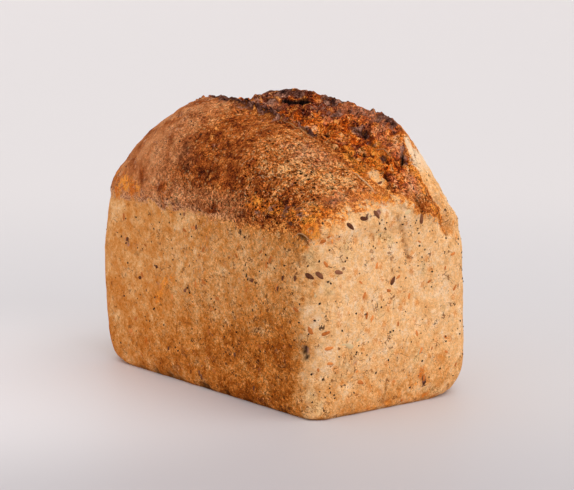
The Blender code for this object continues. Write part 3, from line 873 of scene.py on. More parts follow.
def wall_colour(g, toast, calm, speck):
    """Skin baked against the tin: pale to toasted, full of flecks of bran and seed."""
    mottle = g.math("SUBTRACT", g.noise(0.012, 5, 0.95, 0.2, seed=3.0), 0.5)
    shade = g.noise(0.009, 3, 0.6, 0.4, seed=21.0)
    bake = g.blend((toast, 1.0), (mottle, g.blend((toast, 2.8), plus=-0.53)))
    pale, toasted = g.step(toast, 0.62, 0.50), g.step(toast, 0.52, 0.66)
    beside = g.step(toast, 0.50, 0.54)
    cracks = g.threads(g.noise(0.007, 2, 0.5, 0.8, seed=31.0), 0.017, shade)
    fine_cracks = g.threads(
        g.noise(0.0045, 2, 0.6, 1.0, seed=37.0), 0.020, g.noise(0.007, 2, 0.5, seed=39.0)
    )

    def flecks(cell, low, high, share, stretch, seed):
        return g.spots(cell, low, high, share, speck, stretch, seed)

    wall = g.ramp(
        bake, (0.30, 0.98, 0.70, 0.45), (0.42, 0.935, 0.525, 0.228), (0.55, 0.737, 0.318, 0.091),
        (0.68, 0.63, 0.205, 0.033), (0.85, 0.36, 0.085, 0.008),
    )
    wall = g.layers(
        wall, g.blend((calm, -0.35), plus=1.0),
        (0.34, (0.60, 0.38, 0.17), g.step(shade, 0.60, 0.68)),
        (0.25, (0.98, 0.78, 0.52), g.times(pale, flecks(0.0040, 0.16, 0.50, 0.40, (1, 1, 1), 4.0))),
        (0.62, (0.80, 0.27, 0.050), flecks(0.0050, 0.18, 0.36, 0.31, (1, 1, 1.3), 8.0)),
        (0.65, (0.36, 0.12, 0.036), flecks(0.0045, 0.15, 0.23, 0.30, (1.3, 1.3, 1), 14.0)),
        (0.90, (0.080, 0.030, 0.014), flecks(0.0060, 0.12, 0.18, 0.20, (1.2, 1.2, 1), 18.0)),
        (0.60, (0.20, 0.066, 0.024),
         g.times(beside, flecks(0.0045, 0.14, 0.24, 0.34, (1, 1.2, 1), 44.0))),
        (0.80, (0.20, 0.055, 0.012), cracks),
        (0.75, (0.14, 0.032, 0.006), g.times(toasted, fine_cracks)),
    )
    olive = g.ramp(speck, (0.38, 0.13, 0.060, 0.022), (0.44, 0.52, 0.30, 0.11), (0.58, 0.82, 0.53, 0.25))
    # Olive smudges, with painted shade under the crown's rim where marked
    ragged = g.blend((g.attribute("smudge_and_rim_shade"), 1.0), (shade, 1.6), (speck, 2.0), plus=-1.82)
    return g.mix(g.times(g.step(ragged, 0.30, 0.80), 0.6), wall, olive)


def crown_colour(g, dark, ashen, calm, cloud, speck):
    """Browned skin of the crown: brown with golden and dark grains and specks of painted glint, dusty in
    places.
    """
    grain = g.noise(0.0060, 4, 1.0, 0.2, seed=5.0)
    grain = g.blend((grain, 1.0), (g.times(g.math("SUBTRACT", grain, 0.5), calm), -0.58))
    tone = g.blend((grain, 1.30), (cloud, 0.45), (dark, -0.16), plus=-0.375)
    crown = g.ramp(
        tone, (0.25, 0.056, 0.010, 0.003), (0.38, 0.19, 0.034, 0.007), (0.50, 0.41, 0.090, 0.014),
        (0.62, 0.60, 0.180, 0.036), (0.75, 0.80, 0.40, 0.152),
    )
    dust = g.ramp(grain, (0.40, 0.44, 0.135, 0.045), (0.50, 0.62, 0.235, 0.086), (0.60, 0.78, 0.39, 0.18))
    cracks = g.threads(g.noise(0.008, 2, 0.5, 1.0, seed=41.0), 0.009, cloud)
    return g.layers(
        g.mix(g.times(ashen, g.step(cloud, 0.30, 0.62)), crown, dust), g.blend((calm, -0.72), plus=1.0),
        # painted glints: light golden specks on the grain
        (0.75, (0.86, 0.45, 0.17), g.spots(0.0024, 0.14, 0.36, 0.40, speck, seed=2.0)),
        (0.70, (0.070, 0.016, 0.005), g.spots(0.0024, 0.14, 0.36, 0.36, speck, seed=6.0)),
        (0.60, (0.86, 0.52, 0.25), cracks),
    )


def tear_colour(g, dark, speck):
    """Torn crumb: amber and orange, pinkish in places, with dark maroon clumps."""
    clump = g.noise(0.0120, 4, 0.65, 0.8, seed=9.0)
    lump = g.noise(0.0060, 3, 0.70, 0.4, seed=17.0)
    tone = g.blend((lump, 1.15), (speck, 0.32), (dark, -0.07), plus=-0.25725)
    torn = g.ramp(
        tone, (0.36, 0.17, 0.022, 0.003), (0.44, 0.43, 0.064, 0.006), (0.51, 0.70, 0.140, 0.012),
        (0.58, 0.84, 0.265, 0.042), (0.68, 0.88, 0.46, 0.19),
    )
    rosy = g.ramp(tone, (0.40, 0.34, 0.080, 0.035), (0.52, 0.68, 0.24, 0.105), (0.64, 0.84, 0.47, 0.27))
    torn = g.mix(g.times(g.step(g.noise(0.014, 3, 0.6, seed=27.0), 0.50, 0.60), 0.55), torn, rosy)
    maroon = g.mix(g.step(speck, 0.40, 0.64), (0.070, 0.010, 0.006), (0.28, 0.055, 0.020))
    shaded = g.blend((clump, 1.0), (dark, -0.07), (speck, 0.12), plus=-0.06)
    return g.mix(g.step(shaded, 0.470, 0.428), torn, maroon)


def crust_material():
    """Bread skin: pale against the tin, browned on the crown, torn and burnt along the ear."""
    g = Graph("crust")
    browned, torn, burnt, toast, ashen, dark, calm, golden = (
        g.attribute(name)
        for name in ("browned", "torn", "burnt", "toast", "ashen", "dark", "calm", "golden")
    )
    cloud = g.noise(0.016, 3, 0.55, 0.4)
    blotch = g.noise(0.0055, 4, 0.70, 0.5, seed=7.0)
    speck = g.noise(0.0013, 2, 0.6, 1.2, seed=11.0)

    # The wall, a ragged amber border, and above it the crown with its tear
    crown = crown_colour(g, dark, ashen, calm, cloud, speck)
    crust = g.mix(g.step(torn, 0.15, 0.6), crown, tear_colour(g, dark, speck))
    ragged = g.blend((blotch, 3.4), (speck, 1.2), plus=-2.3)
    edge = g.blend((browned, 1.0), (ragged, g.step(browned, 0.0, 0.3)))
    fleck = g.step(speck, 0.42, 0.58)
    amber = g.mix(fleck, (0.60, 0.125, 0.014), (0.90, 0.37, 0.090))
    dull = g.mix(fleck, (0.30, 0.095, 0.042), (0.72, 0.37, 0.19))
    colour = wall_colour(g, toast, calm, speck)
    colour = g.mix(g.step(edge, 0.06, 0.28), colour, g.mix(ashen, amber, dull))
    colour = g.mix(g.step(edge, 0.50, 0.84), colour, crust)

    # Single features
    # Golden patches; one of them is painted light over a hollow of the tear
    patch = g.blend((g.noise(0.0036, 3, 0.7, 0.4, seed=33.0), 4.0), (speck, 1.5), plus=-2.75)
    gold = g.mix(g.step(blotch, 0.42, 0.58), (0.62, 0.135, 0.011), (0.92, 0.33, 0.048))
    golden = g.step(g.blend((golden, 1.0), (patch, golden)), 0.25, 0.75)
    pink = g.ramp(blotch, (0.40, 0.34, 0.095, 0.050), (0.52, 0.66, 0.26, 0.135), (0.62, 0.84, 0.46, 0.29))
    # Painted shade along the creases: a dark brown line where their shadow lies
    crease_shade_colour = g.ramp(speck, (0.36, 0.080, 0.020, 0.004), (0.60, 0.34, 0.11, 0.020))
    char_and_pit_shade = g.ramp(
        blotch, (0.42, 0.018, 0.006, 0.005), (0.52, 0.165, 0.062, 0.042), (0.62, 0.45, 0.21, 0.135)
    )
    # The char colour also paints shade into a hollow and a pit
    scorch = g.blend((burnt, 1.0), (blotch, 2.0), (speck, 0.8), plus=-1.4)
    colour = g.layers(
        colour, 1.0, (0.90, gold, golden), (0.85, pink, g.attribute("pink")),
        (0.90, crease_shade_colour, g.attribute("crease_shade")), (1.0, char_and_pit_shade, g.step(scorch, 0.30, 0.65)),
        # painted shade: near black where shadow falls in the tear's gaps, the pits and the foot notches
        (1.0, (0.012, 0.005, 0.004), g.attribute("hollow_shade")),
    )

    strength = g.blend((browned, 3.6), (toast, 4.6), plus=-0.85)
    strength = g.times(strength, g.blend((calm, -0.6), (g.times(calm, browned), -0.16), plus=1.0))
    gain = g.blend((g.math("SUBTRACT", speck, 0.5), strength), plus=1.0)
    wrinkle = g.noise(0.0024, 4, 0.75, 0.3, seed=13.0)
    height = g.blend((wrinkle, 1.0), (g.times(wrinkle, browned), 1.2), (speck, 0.4))
    height = g.times(height, g.blend((calm, -0.6), plus=1.0))
    return g.skin(g.scale(colour, gain), 0.85, 0.02, height, 0.0012)


# The flank behind the ear turns pale from here along the loaf, further on where it is higher
FLANK_START, FLANK_FOOT, FLANK_LEAN = 0.024, 0.095, 0.8
FLANK_FADE, FLANK_START_FADE = 0.003, 0.026
# Burning along the torn edges: from and to in x, the fade there, how far past the edge, reach
NEAR_BURN = ((-0.044, 0.020), 0.012, 0.004, 0.0060)
EAR_BURN = ((-0.070, 0.036), 0.020, -0.002, 0.0050)
BURN_EVEN, BURN_PATCHES, BURN_PATCH_SIZE = 0.45, 1.1, 0.011
# How far the walls are baked, and how softly the browned crust begins above them
PALE_TOAST, LOW_TOAST, FLANK_LOW_TOAST, FLANK_HIGH_TOAST = 0.415, 0.08, 0.050, -0.100
BROWN_FADE, END_BROWN_FADE = 0.010, 0.006


def pale_flank(p):
    """Where the skin behind the ear stayed pale, 0 to 1."""
    x, y, z = p.T
    from_y = on_line(FLANK_LINE, z) + rags(p, FLANK_RAGS)
    from_x = FLANK_START + FLANK_LEAN * (z - FLANK_FOOT) + rags(p, FLANK_START_RAGS)
    return smooth((y - from_y) / FLANK_FADE + 0.5) * smooth((x - from_x) / FLANK_START_FADE)


def burns_and_pit_shade(body):
    """How burnt the two edges of the tear and the charred spots are, 0 to 1. Two of the spots are painted
    shade, in a hollow of the tear and in a pit by the near corner.
    """
    x = body.smooth_points[:, 0]
    near, ear = (
        bump_at(past - middle, reach) * window(x, *ends, fade)
        for past, (ends, fade, middle, reach) in ((body.past_near, NEAR_BURN), (body.past_ear, EAR_BURN))
    )
    ear *= 1 - 0.35 * ease(x, 0.0, 0.008)
    patches = BURN_PATCHES * waves(body.smooth_points, BURN_PATCH_SIZE, 6.1)
    ear *= np.clip(BURN_EVEN + patches, 0, 1)
    return np.maximum.reduce((near, ear, marked(body.points, CHARS_AND_PIT_SHADE)))


def toasting(p, flank, wall):
    """How far the walls are baked: about 0.4 where they are pale, 0.7 where they are brown."""
    x, y, z = p.T
    side_low = ease(z, 0.068, 0.008)
    past_corner = x + rags(p * (1, 1, 0.6), TOAST_RAGS) - 0.080 + 0.009 * side_low
    long_side = ease(y, -0.045, -0.053) * ease(past_corner, 0.015 + 0.004 * side_low, 0.0)
    low, high = ease(z, 0.050, 0.0), ease(z, 0.112, 0.122)
    right = ease(x, -0.030, 0.050)
    shoulder = (1 - high) * ease(z, 0.084, 0.092) * near_end(x)
    toast = PALE_TOAST + LOW_TOAST * low * (1 - long_side)
    toast += flank * (FLANK_LOW_TOAST * shoulder + FLANK_HIGH_TOAST * high)
    toast += long_side * (0.127 + 0.033 * right + side_low * (0.12 + 0.11 * right))
    for start, end, reach, change in map(in_metres, BAKES):
        toast += change * bump_at(segment_apart(p, start, end), reach)
    return toast + MOTTLE_TOAST * wall * corner_mottle(p)


def finish_masks(body):
    """How browned, torn, burnt, toasted and so on each point is, 0 to 1."""
    p, places = body.smooth_points, body.points
    x, y, z = p.T
    at_end, flank = near_end(x), pale_flank(p)
    fade = BROWN_FADE + END_BROWN_FADE * at_end
    browned = smooth((z - crust_line(p) + rags(p, BROWN_RAGS)) / fade + 0.5)
    browned *= (1 - 0.95 * flank) * (1 - marked(places, BARES))
    wall = 1 - browned
    calm = smooth((0.012 * wall - 0.002 - x) / (0.060 + 0.015 * wall))
    calm = (calm - 0.5 * ease(x, 0.015, 0.055) * (1 - at_end)) * ease(y, 0.0, -0.030)
    ashen = ease(x, -0.005, -0.040)
    ashen += 0.8 * window(z, 0.092, 0.106, 0.008) * window(x, -0.08, 0.035, 0.03)
    # Painted shade: the tear's deep gaps, the pits and the foot notches get near-black colour where their
    # shadow falls
    gaps = body.torn * ease(body.depth, -0.75, -1.25)
    hollow_shade = np.maximum.reduce((gaps, ease(body.sunk, 0.0, 0.0014), 0.8 * foot_notches(p)))
    dark = marked(places, DARKS) - marked(places, LIGHTS)
    dark -= 0.35 * ease(x, 0.005, 0.055) * ease(z, 0.108, 0.122) * (1 - body.torn)
    return {
        "browned": browned, "torn": body.torn, "burnt": burns_and_pit_shade(body) * (1 - flank),
        "toast": toasting(p, flank, wall), "ashen": np.clip(ashen, 0, 1), "dark": dark,
        "hollow_shade": np.clip(hollow_shade, 0, 1), "golden": marked(places, GOLDS_AND_LIGHT), "calm": calm,
        "pink": marked(places, PINKS), "smudge_and_rim_shade": marked(places, SMUDGES_AND_RIM_SHADE),
        "crease_shade": marked(places, CREASES),
    }


def make_body(shift):
    """The loaf itself. Gives the tree of its skin, on which the seeds are laid."""
    body = Body()
    points = relief(body)
    add_piece("loaf_body", points + shift, body.faces, finish_masks(body), crust_material(), "crust")
    return BVHTree.FromPolygons(points.tolist(), body.faces)


# Seeds and grains: length, width, thickness. The solid carries some of the first three kinds,
# in the places that solid_seed_rays gives
FLAX = (0.0053, 0.0030, 0.0021)
GRAIN = (0.0048, 0.0026, 0.0018)
KERNEL = (0.0085, 0.0046, 0.0028)
FLAKE = (0.0040, 0.0019, 0.0007)
BRAN = (0.0031, 0.0022, 0.0007)
POPPY = (0.0012, 0.0011, 0.0010)
SEED_SINK = 0.00035
BAKED_SINK = 0.00100         # on the crown and the long walls, where the seeds are baked in
POPPY_SINK, FLAKE_SINK, KERNEL_SINK, PRESSED_KERNEL_SINK = 0.0002, 0.0001, 0.0009, 0.0012
SEED_TAPER = 0.35
SEED_CLEAR_OF_FLOOR = 0.008
WALLS = ("+X", "-X", "+Y", "-Y", "crown")
END, SIDE = "+X", "-Y"       # the two walls that the photo shows

# Seeds where the photo shows them: y on the end wall or x on the side wall, z, turn in degrees
END_FLAX = (
    (-0.0318, 0.0964, -40), (-0.0234, 0.0995, -10), (-0.0149, 0.1007, -55), (0.0145, 0.0958, 90),
    (-0.0478, 0.0731, -45), (-0.0512, 0.0725, -30), (-0.0388, 0.0742, -15), (-0.0027, 0.0658, 60),
)
END_GRAINS = (
    (-0.0135, 0.0747, 75), (-0.0220, 0.0607, 60), (0.0217, 0.0626, 25), (0.0397, 0.0573, 60),
    (-0.0457, 0.0443, 20), (-0.0442, 0.0366, 10),
)
SIDE_FLAX = (
    (-0.0113, 0.0520, 0), (-0.0650, 0.0718, 0), (-0.0274, 0.0173, 80), (-0.0012, 0.0864, 60),
    (0.0316, 0.0232, 60), (0.0758, 0.0980, -20),
)
END_FLAKES = (
    (-0.0458, 0.0899, 30), (-0.0451, 0.0785, -60), (-0.0053, 0.0610, -15), (0.0081, 0.0564, 90),
    (-0.0203, 0.0502, 80), (-0.0169, 0.0483, 60), (-0.0515, 0.0456, -60), (-0.0434, 0.0289, 5),
    (0.0184, 0.0129, 90), (0.0369, 0.0753, 10),
)
SIDE_FLAKES = ((0.0821, 0.0553, -20), (0.0665, 0.0641, 80), (0.0173, 0.0510, 0), (-0.0350, 0.0489, 70))
SIDE_BRAN = (
    (-0.0650, 0.0716, 45), (-0.0012, 0.0860, 75), (-0.0123, 0.0915, 60), (-0.0199, 0.0964, 20),
    (-0.0536, 0.0517, 10), (-0.0390, 0.0598, 0), (0.0475, 0.0650, 30), (0.0673, 0.0637, 85),
    (0.0712, 0.0695, 80), (-0.0274, 0.0170, 70), (-0.0008, 0.0085, -40), (0.0308, 0.0236, 60),
    (0.0474, 0.0090, 80), (0.0812, 0.0710, 80), (-0.0113, 0.0510, 30),
)
SIDE_BRAN_BITS = (
    (-0.0314, 0.0940, 0), (-0.0653, 0.0829, 15), (-0.0254, 0.0618, 40), (-0.0388, 0.0514, 80),
    (-0.0012, 0.0684, 20), (0.0014, 0.0715, 60), (-0.0074, 0.0648, 70), (-0.0231, 0.0718, 80),
    (-0.0343, 0.0728, 10), (-0.0480, 0.0455, 80), (0.0554, 0.0765, -50), (0.0569, 0.0822, 0),
    (0.0121, 0.0500, 30), (0.0016, 0.0122, 60), (0.0114, 0.0304, 75), (0.0325, 0.0432, 88),
    (0.0656, 0.0322, 70), (0.0217, 0.0225, 20),
)
END_KERNELS = (
    (-0.0496, 0.0824, 85), (-0.0499, 0.0632, 90), (0.0051, 0.0998, 20), (-0.0116, 0.0906, 20),
    (0.0146, 0.0271, 60), (-0.0356, 0.0376, 0),
)
CROWN_FLAX, CROWN_FLAX_TURN, CROWN_FLAX_SCALE = (0.0885, -0.0060), 0.8, 0.7

# Seeds that a random draw scatters. The solid carries one in each cell of some patches
CELL_GRIDS = (
    ("+Y", (7, 2), ((-0.080, 0.014), (0.080, 0.084))),
    ("-X", (4, 3), ((-0.040, 0.014), (0.040, 0.090))),
)
CROWN_CELLS, CROWN_PATCH = (6, 2), ((-0.070, 0.026), (0.070, 0.046))
CELL_MARGIN = 0.15
KERNEL_SHARE = 0.3
SEED_DRAW = 41
SPREAD_X, SPREAD_Y, SPREAD_Z = (-0.094, 0.094), (-0.052, 0.052), (0.009, 0.100)
POPPY_COUNTS = (120, 120, 190, 170, 50)     # on each of the WALLS
FLAKE_COUNTS = (16, 24, 34, 30, 6)
KERNEL_COUNTS = (2, 4, 5, 0, 0)
POPPY_CLUSTERS = ((-0.010, 0.090), (0.014, 0.096), (0.018, 0.010), (-0.045, 0.012), (0.016, 0.075))
CLUSTER_REACH, CLUSTER_COUNT = 0.0035, 11
CLEAR_OF_LOAF = 0.3
LEVEL_NUDGE = Vector((0.001, 0.002, 0))     # keeps a level line defined where the skin is level


def onto(wall, across, up, turn):
    """The start and direction of a ray onto a wall or down onto the crown, and a seed's turn.

    The numbers are y and z on the end walls, x and z on the long walls, x and y on the crown.
    """
    if wall == "crown":
        return (across, up, CLEAR_OF_LOAF), (0, 0, -1), turn
    side = 1 if wall[0] == "+" else -1
    if wall[1] == "X":
        return (side * CLEAR_OF_LOAF, across, up), (-side, 0, 0), turn
    return (across, side * CLEAR_OF_LOAF, up), (0, -side, 0), turn


def seen(wall, places):
    """Rays to the places on a wall where the photo shows seeds."""
    return [onto(wall, across, up, math.radians(turn)) for across, up, turn in places]


def cells(draw, counts, patch):
    """One random point in each cell of a grid over a rectangular patch."""
    low, high = patch
    for i in range(counts[0]):
        for j in range(counts[1]):
            u = (i + draw.uniform(CELL_MARGIN, 1 - CELL_MARGIN)) / counts[0]
            v = (j + draw.uniform(CELL_MARGIN, 1 - CELL_MARGIN)) / counts[1]
            yield low[0] + u * (high[0] - low[0]), low[1] + v * (high[1] - low[1])


def solid_seed_rays():
    """The seeds that the solid carries: the kind of each, and its ray."""
    for kind, wall, places in ((FLAX, END, END_FLAX), (GRAIN, END, END_GRAINS), (FLAX, SIDE, SIDE_FLAX)):
        for ray in seen(wall, places):
            yield kind, ray
    draw = random.Random(SEED_DRAW)
    for wall, counts, patch in CELL_GRIDS:
        for across, up in cells(draw, counts, patch):
            kind = KERNEL if draw.random() < KERNEL_SHARE else FLAX
            yield kind, onto(wall, across, up, draw.uniform(0, math.pi))
    for side in (-1, 1):
        for x, y in cells(draw, CROWN_CELLS, CROWN_PATCH):
            yield FLAX, onto("crown", x, side * y, draw.uniform(0, math.pi))


def spread(draw, count, wall):
    """Random rays onto one wall of the loaf or down onto its crown."""
    for _ in range(count):
        turn = draw.uniform(0, math.pi)
        x, y, z = (draw.uniform(*limits) for limits in (SPREAD_X, SPREAD_Y, SPREAD_Z))
        if wall == "crown":
            yield onto(wall, x, y, turn)
        else:
            yield onto(wall, y if wall[1] == "X" else x, z, turn)


def clusters(draw, places, reach, count):
    """Random rays onto the +X end, gathered round some (y, z) places."""
    for y, z in places:
        for _ in range(count):
            yield onto(END, draw.gauss(y, reach), draw.gauss(z, reach), draw.uniform(0, math.pi))


def lie_on(tree, start, direction, turn, sink):
    """The frame of a seed laid where this ray meets the skin, or None where it may not lie."""
    point, normal, _, _ = tree.ray_cast(Vector(start), Vector(direction))
    if point is None or point.z < SEED_CLEAR_OF_FLOOR:
        return None
    level = (Vector((0, 0, 1)) + LEVEL_NUDGE).cross(normal).normalized()
    across = Matrix.Rotation(turn, 3, normal) @ level
    place = Matrix((across, normal.cross(across), normal)).transposed().to_4x4()
    place.translation = point - normal * sink
    return place


def shape_of(bm):
    """A bmesh's points and faces. The bmesh is freed."""
    points = np.array([vert.co for vert in bm.verts])
    faces = [[vert.index for vert in face.verts] for face in bm.faces]
    bm.free()
    return points, faces


def seed_shape(size, segments, rings):
    """A pointed oval seed of this size lying flat: its points and faces."""
    bm = bmesh.new()
    bmesh.ops.create_uvsphere(bm, u_segments=segments, v_segments=rings, radius=0.5)
    bmesh.ops.recalc_face_normals(bm, faces=bm.faces)
    points, faces = shape_of(bm)
    x, y, z = points.T
    taper = 1 - SEED_TAPER * smooth(z + 0.5)
    return np.stack((z, x * taper, y), axis=1) * size, faces


def flake_shape(draw, size):
    """A thin grain of uneven outline, domed above and flat below."""
    length, width, thick = size
    count = 12
    outline = []
    for k in range(count):
        angle = 2 * math.pi * k / count
        reach = 0.5 * draw.uniform(0.75, 1.1)
        outline.append((math.cos(angle) * reach * length, math.sin(angle) * reach * width))
    points = [(x, y, -0.4 * thick) for x, y in outline]
    points += [(x, y, 0.1 * thick) for x, y in outline]
    points += [(0.6 * x, 0.6 * y, 0.45 * thick * draw.uniform(0.7, 1.2)) for x, y in outline]
    points += [(0, 0, 0.5 * thick), (0, 0, -0.4 * thick)]
    faces = []
    for k in range(count):
        after = (k + 1) % count
        for low in (0, count):
            high = low + count
            faces.append((low + k, low + after, high + after, high + k))
        faces.append((2 * count + k, 2 * count + after, 3 * count))
        faces.append((after, k, 3 * count + 1))
    return np.array(points), faces


class Pieces:
    """Many small shapes gathered into one mesh piece."""

    def __init__(self):
        self.points, self.faces, self.tints = [], [], []

    def add(self, shape, place, tint, scale=1.0):
        points, faces = shape
        first = len(self.points)
        turned = points * scale @ np.array(place.to_3x3()).T + np.array(place.translation)
        self.points += turned.tolist()
        self.faces += [[first + k for k in face] for face in faces]
        self.tints += [tint] * len(points)

    def finish(self, name, shift, material, slot):
        points = np.array(self.points) + shift
        add_piece(name, points, self.faces, {"tint": self.tints}, material, slot)


def seed_material(name, dull, bright, roughness, grain_size):
    """A seed coat that varies from seed to seed and over each seed."""
    g = Graph(name)
    pattern = g.noise(grain_size, 3, 0.6)
    mixed = g.blend((pattern, 1.0), (g.attribute("tint"), 1.0), plus=-0.5)
    return g.skin(g.mix(mixed, dull, bright), roughness, 0.03, pattern, 0.0002)


def make_seeds(tree, shift):
    draw = random.Random(7)
    flax, kernels, flakes, poppy = Pieces(), Pieces(), Pieces(), Pieces()
    flax_shape, kernel_shape = seed_shape(FLAX, 12, 8), seed_shape(KERNEL, 12, 8)
    grain_shape, poppy_shape = seed_shape(GRAIN, 10, 8), seed_shape(POPPY, 8, 6)
    flake, bran = partial(flake_shape, draw, FLAKE), partial(flake_shape, draw, BRAN)
    kinds = {FLAX: (flax, flax_shape), GRAIN: (flakes, grain_shape), KERNEL: (kernels, kernel_shape)}
    for kind, ray in solid_seed_rays():
        at_end = ray[1][0] != 0
        sink = SEED_SINK * draw.uniform(0.8, 2.0) if at_end else BAKED_SINK
        place = lie_on(tree, *ray, sink)
        if place is not None:
            pieces, shape = kinds[kind]
            pieces.add(shape, place, draw.random() * (1.0 if at_end else 0.4))

    def lay(pieces, shape, rays, sink, low, high):
        """Lay a seed along each ray, at a random scale from low to high."""
        for ray in rays:
            place = lie_on(tree, *ray, sink)
            if place is not None:
                made = shape() if callable(shape) else shape
                pieces.add(made, place, draw.random(), draw.uniform(low, high))

    for wall, poppies, flake_count, kernel_count in zip(WALLS, POPPY_COUNTS, FLAKE_COUNTS, KERNEL_COUNTS):
        lay(poppy, poppy_shape, spread(draw, poppies, wall), POPPY_SINK, 0.6, 1.3)
        lay(flakes, flake, spread(draw, flake_count, wall), FLAKE_SINK, 0.6, 1.2)
        lay(kernels, kernel_shape, spread(draw, kernel_count, wall), KERNEL_SINK, 0.7, 1.0)
    on_crown = onto("crown", *CROWN_FLAX, CROWN_FLAX_TURN)
    lay(flax, flax_shape, [on_crown], SEED_SINK, CROWN_FLAX_SCALE, CROWN_FLAX_SCALE)
    gathered = clusters(draw, POPPY_CLUSTERS, CLUSTER_REACH, CLUSTER_COUNT)
    lay(poppy, poppy_shape, gathered, POPPY_SINK, 0.5, 1.1)
    lay(flakes, flake, seen(END, END_FLAKES), FLAKE_SINK, 0.9, 1.2)
    lay(flakes, flake, seen(SIDE, SIDE_FLAKES), FLAKE_SINK, 1.0, 1.3)
    lay(kernels, kernel_shape, seen(END, END_KERNELS), PRESSED_KERNEL_SINK, 0.8, 1.0)
    lay(flax, bran, seen(SIDE, SIDE_BRAN), FLAKE_SINK, 0.85, 1.05)
    lay(flax, bran, seen(SIDE, SIDE_BRAN_BITS), FLAKE_SINK, 0.50, 0.65)
    for name, pieces, slot, dull, bright, grain_size in (
        ("flax_seeds", flax, "flax_seed", (0.095, 0.030, 0.014), (0.32, 0.125, 0.062), 0.0016),
        ("golden_flakes", flakes, "golden_flake", (0.46, 0.125, 0.025), (0.82, 0.28, 0.072), 0.0012),
        ("poppy_seeds", poppy, "poppy_seed", (0.016, 0.008, 0.005), (0.062, 0.033, 0.020), 0.0006),
        ("kernels", kernels, "kernel", (0.42, 0.30, 0.16), (0.76, 0.53, 0.28), 0.0016),
    ):
        pieces.finish(name, shift, seed_material(slot, dull, bright, 0.6, grain_size), slot)


# Thin pale edges of torn skin that curl up: places along each one
CURLS = (
    ((0.0170, -0.0122, 0.1410), (0.0285, -0.0134, 0.1395), (0.0377, -0.0129, 0.1367),
     (0.0483, -0.0142, 0.1331)),
    ((0.0787, -0.0542, 0.0908), (0.0825, -0.0535, 0.0927), (0.0847, -0.0527, 0.0929),
     (0.0866, -0.0518, 0.0916), (0.0892, -0.0501, 0.0893)),
    ((0.0772, -0.0152, 0.1202), (0.0832, -0.0143, 0.1172), (0.0880, -0.0132, 0.1141),
     (0.0925, -0.0117, 0.1104)),
    ((0.0685, 0.0062, 0.1288), (0.0744, 0.0091, 0.1292), (0.0802, 0.0095, 0.1261)),
)
CURL_WIDTH, CURL_STEPS, CURL_SIDES = 0.0007, 7, 6
CURL_TAPER = 0.08                           # share of the width left at each end, as an angle
CURL_WANDER, CURL_WANDER_SIZE = 0.0005, 0.003


def curl_shape(tree, places):
    """A thin tapered edge along the skin under these places: its points and faces."""
    path = [
        Vector(start).lerp(Vector(end), k / CURL_STEPS)
        for start, end in zip(places, places[1:]) for k in range(CURL_STEPS)
    ]
    path.append(Vector(places[-1]))
    last = len(path) - 1
    points, faces = [], []
    for k, place in enumerate(path):
        skin, normal, _, _ = tree.find_nearest(place)
        onward = path[min(k + 1, last)] - path[max(k - 1, 0)]
        side = normal.cross(onward).normalized()
        radius = CURL_WIDTH / 2 * math.sin(math.pi * (CURL_TAPER + (1 - 2 * CURL_TAPER) * k / last))
        wander = CURL_WANDER * noise.noise(place / CURL_WANDER_SIZE)
        middle = skin + normal * 0.6 * radius + side * wander
        for i in range(CURL_SIDES):
            angle = 2 * math.pi * i / CURL_SIDES
            points.append(middle + radius * (side * math.cos(angle) + normal * math.sin(angle)))
        first = k * CURL_SIDES
        below = first - CURL_SIDES
        for i in range(CURL_SIDES if k else 0):
            after = (i + 1) % CURL_SIDES
            faces.append((first + i, below + i, below + after, first + after))
    faces.append(tuple(reversed(range(CURL_SIDES))))
    faces.append(tuple(range(last * CURL_SIDES, (last + 1) * CURL_SIDES)))
    return np.array(points), faces


def make_curls(tree, shift):
    curls = Pieces()
    for k, places in enumerate(CURLS):
        curls.add(curl_shape(tree, places), Matrix.Identity(4), (k % 3) / 3)
    material = seed_material("pale_skin", (0.46, 0.20, 0.07), (0.80, 0.50, 0.26), 0.7, 0.0016)
    curls.finish("skin_curls", shift, material, "crust")


# Lumps of crumb on the torn edges and in the tear: the rail that they lie along, how far past
# it in y, from where to where along the loaf, their sizes, how light they are, and how many
CRUMBS = (
    (NEAR_EDGE, (-0.001, 0.010), (-0.046, 0.046), (0.0010, 0.0026), (0.0, 0.45), 150),
    (EAR_EDGE, (-0.006, 0.002), (-0.008, 0.055), (0.0010, 0.0030), (0.0, 0.55), 100),
    (EAR_EDGE, (-0.030, -0.003), (-0.004, 0.082), (0.0008, 0.0022), (0.25, 1.0), 190),
    (EAR_EDGE, (-0.028, -0.006), (-0.075, -0.006), (0.0008, 0.0018), (0.0, 0.4), 130),
)
CRUMB_SINK = 0.3
CRUMB_KINDS = 6


def crumb_shape(draw):
    """An uneven round lump one metre across: its points and faces."""
    bm = bmesh.new()
    bmesh.ops.create_icosphere(bm, subdivisions=2, radius=0.5)
    shift = Vector((draw.uniform(0, 50), draw.uniform(0, 50), 0))
    squash = Vector((1.0, draw.uniform(0.6, 0.9), draw.uniform(0.5, 0.8)))
    for vert in bm.verts:
        vert.co *= 1 + 0.6 * noise.noise(vert.co * 2.5 + shift)
        vert.co *= squash
    return shape_of(bm)


def crumb_material():
    """Browned crumb, from burnt to golden as its tint says."""
    g = Graph("crumb")
    pattern = g.noise(0.0012, 3, 0.6)
    tone = g.blend((g.attribute("tint"), 1.0), (pattern, 0.8), plus=-0.4)
    colour = g.ramp(
        tone, (0.0, 0.032, 0.009, 0.006), (0.25, 0.14, 0.036, 0.016), (0.5, 0.40, 0.085, 0.015),
        (0.75, 0.68, 0.17, 0.024), (1.0, 0.84, 0.38, 0.12),
    )
    return g.skin(colour, 0.85, 0.02, pattern, 0.0004)


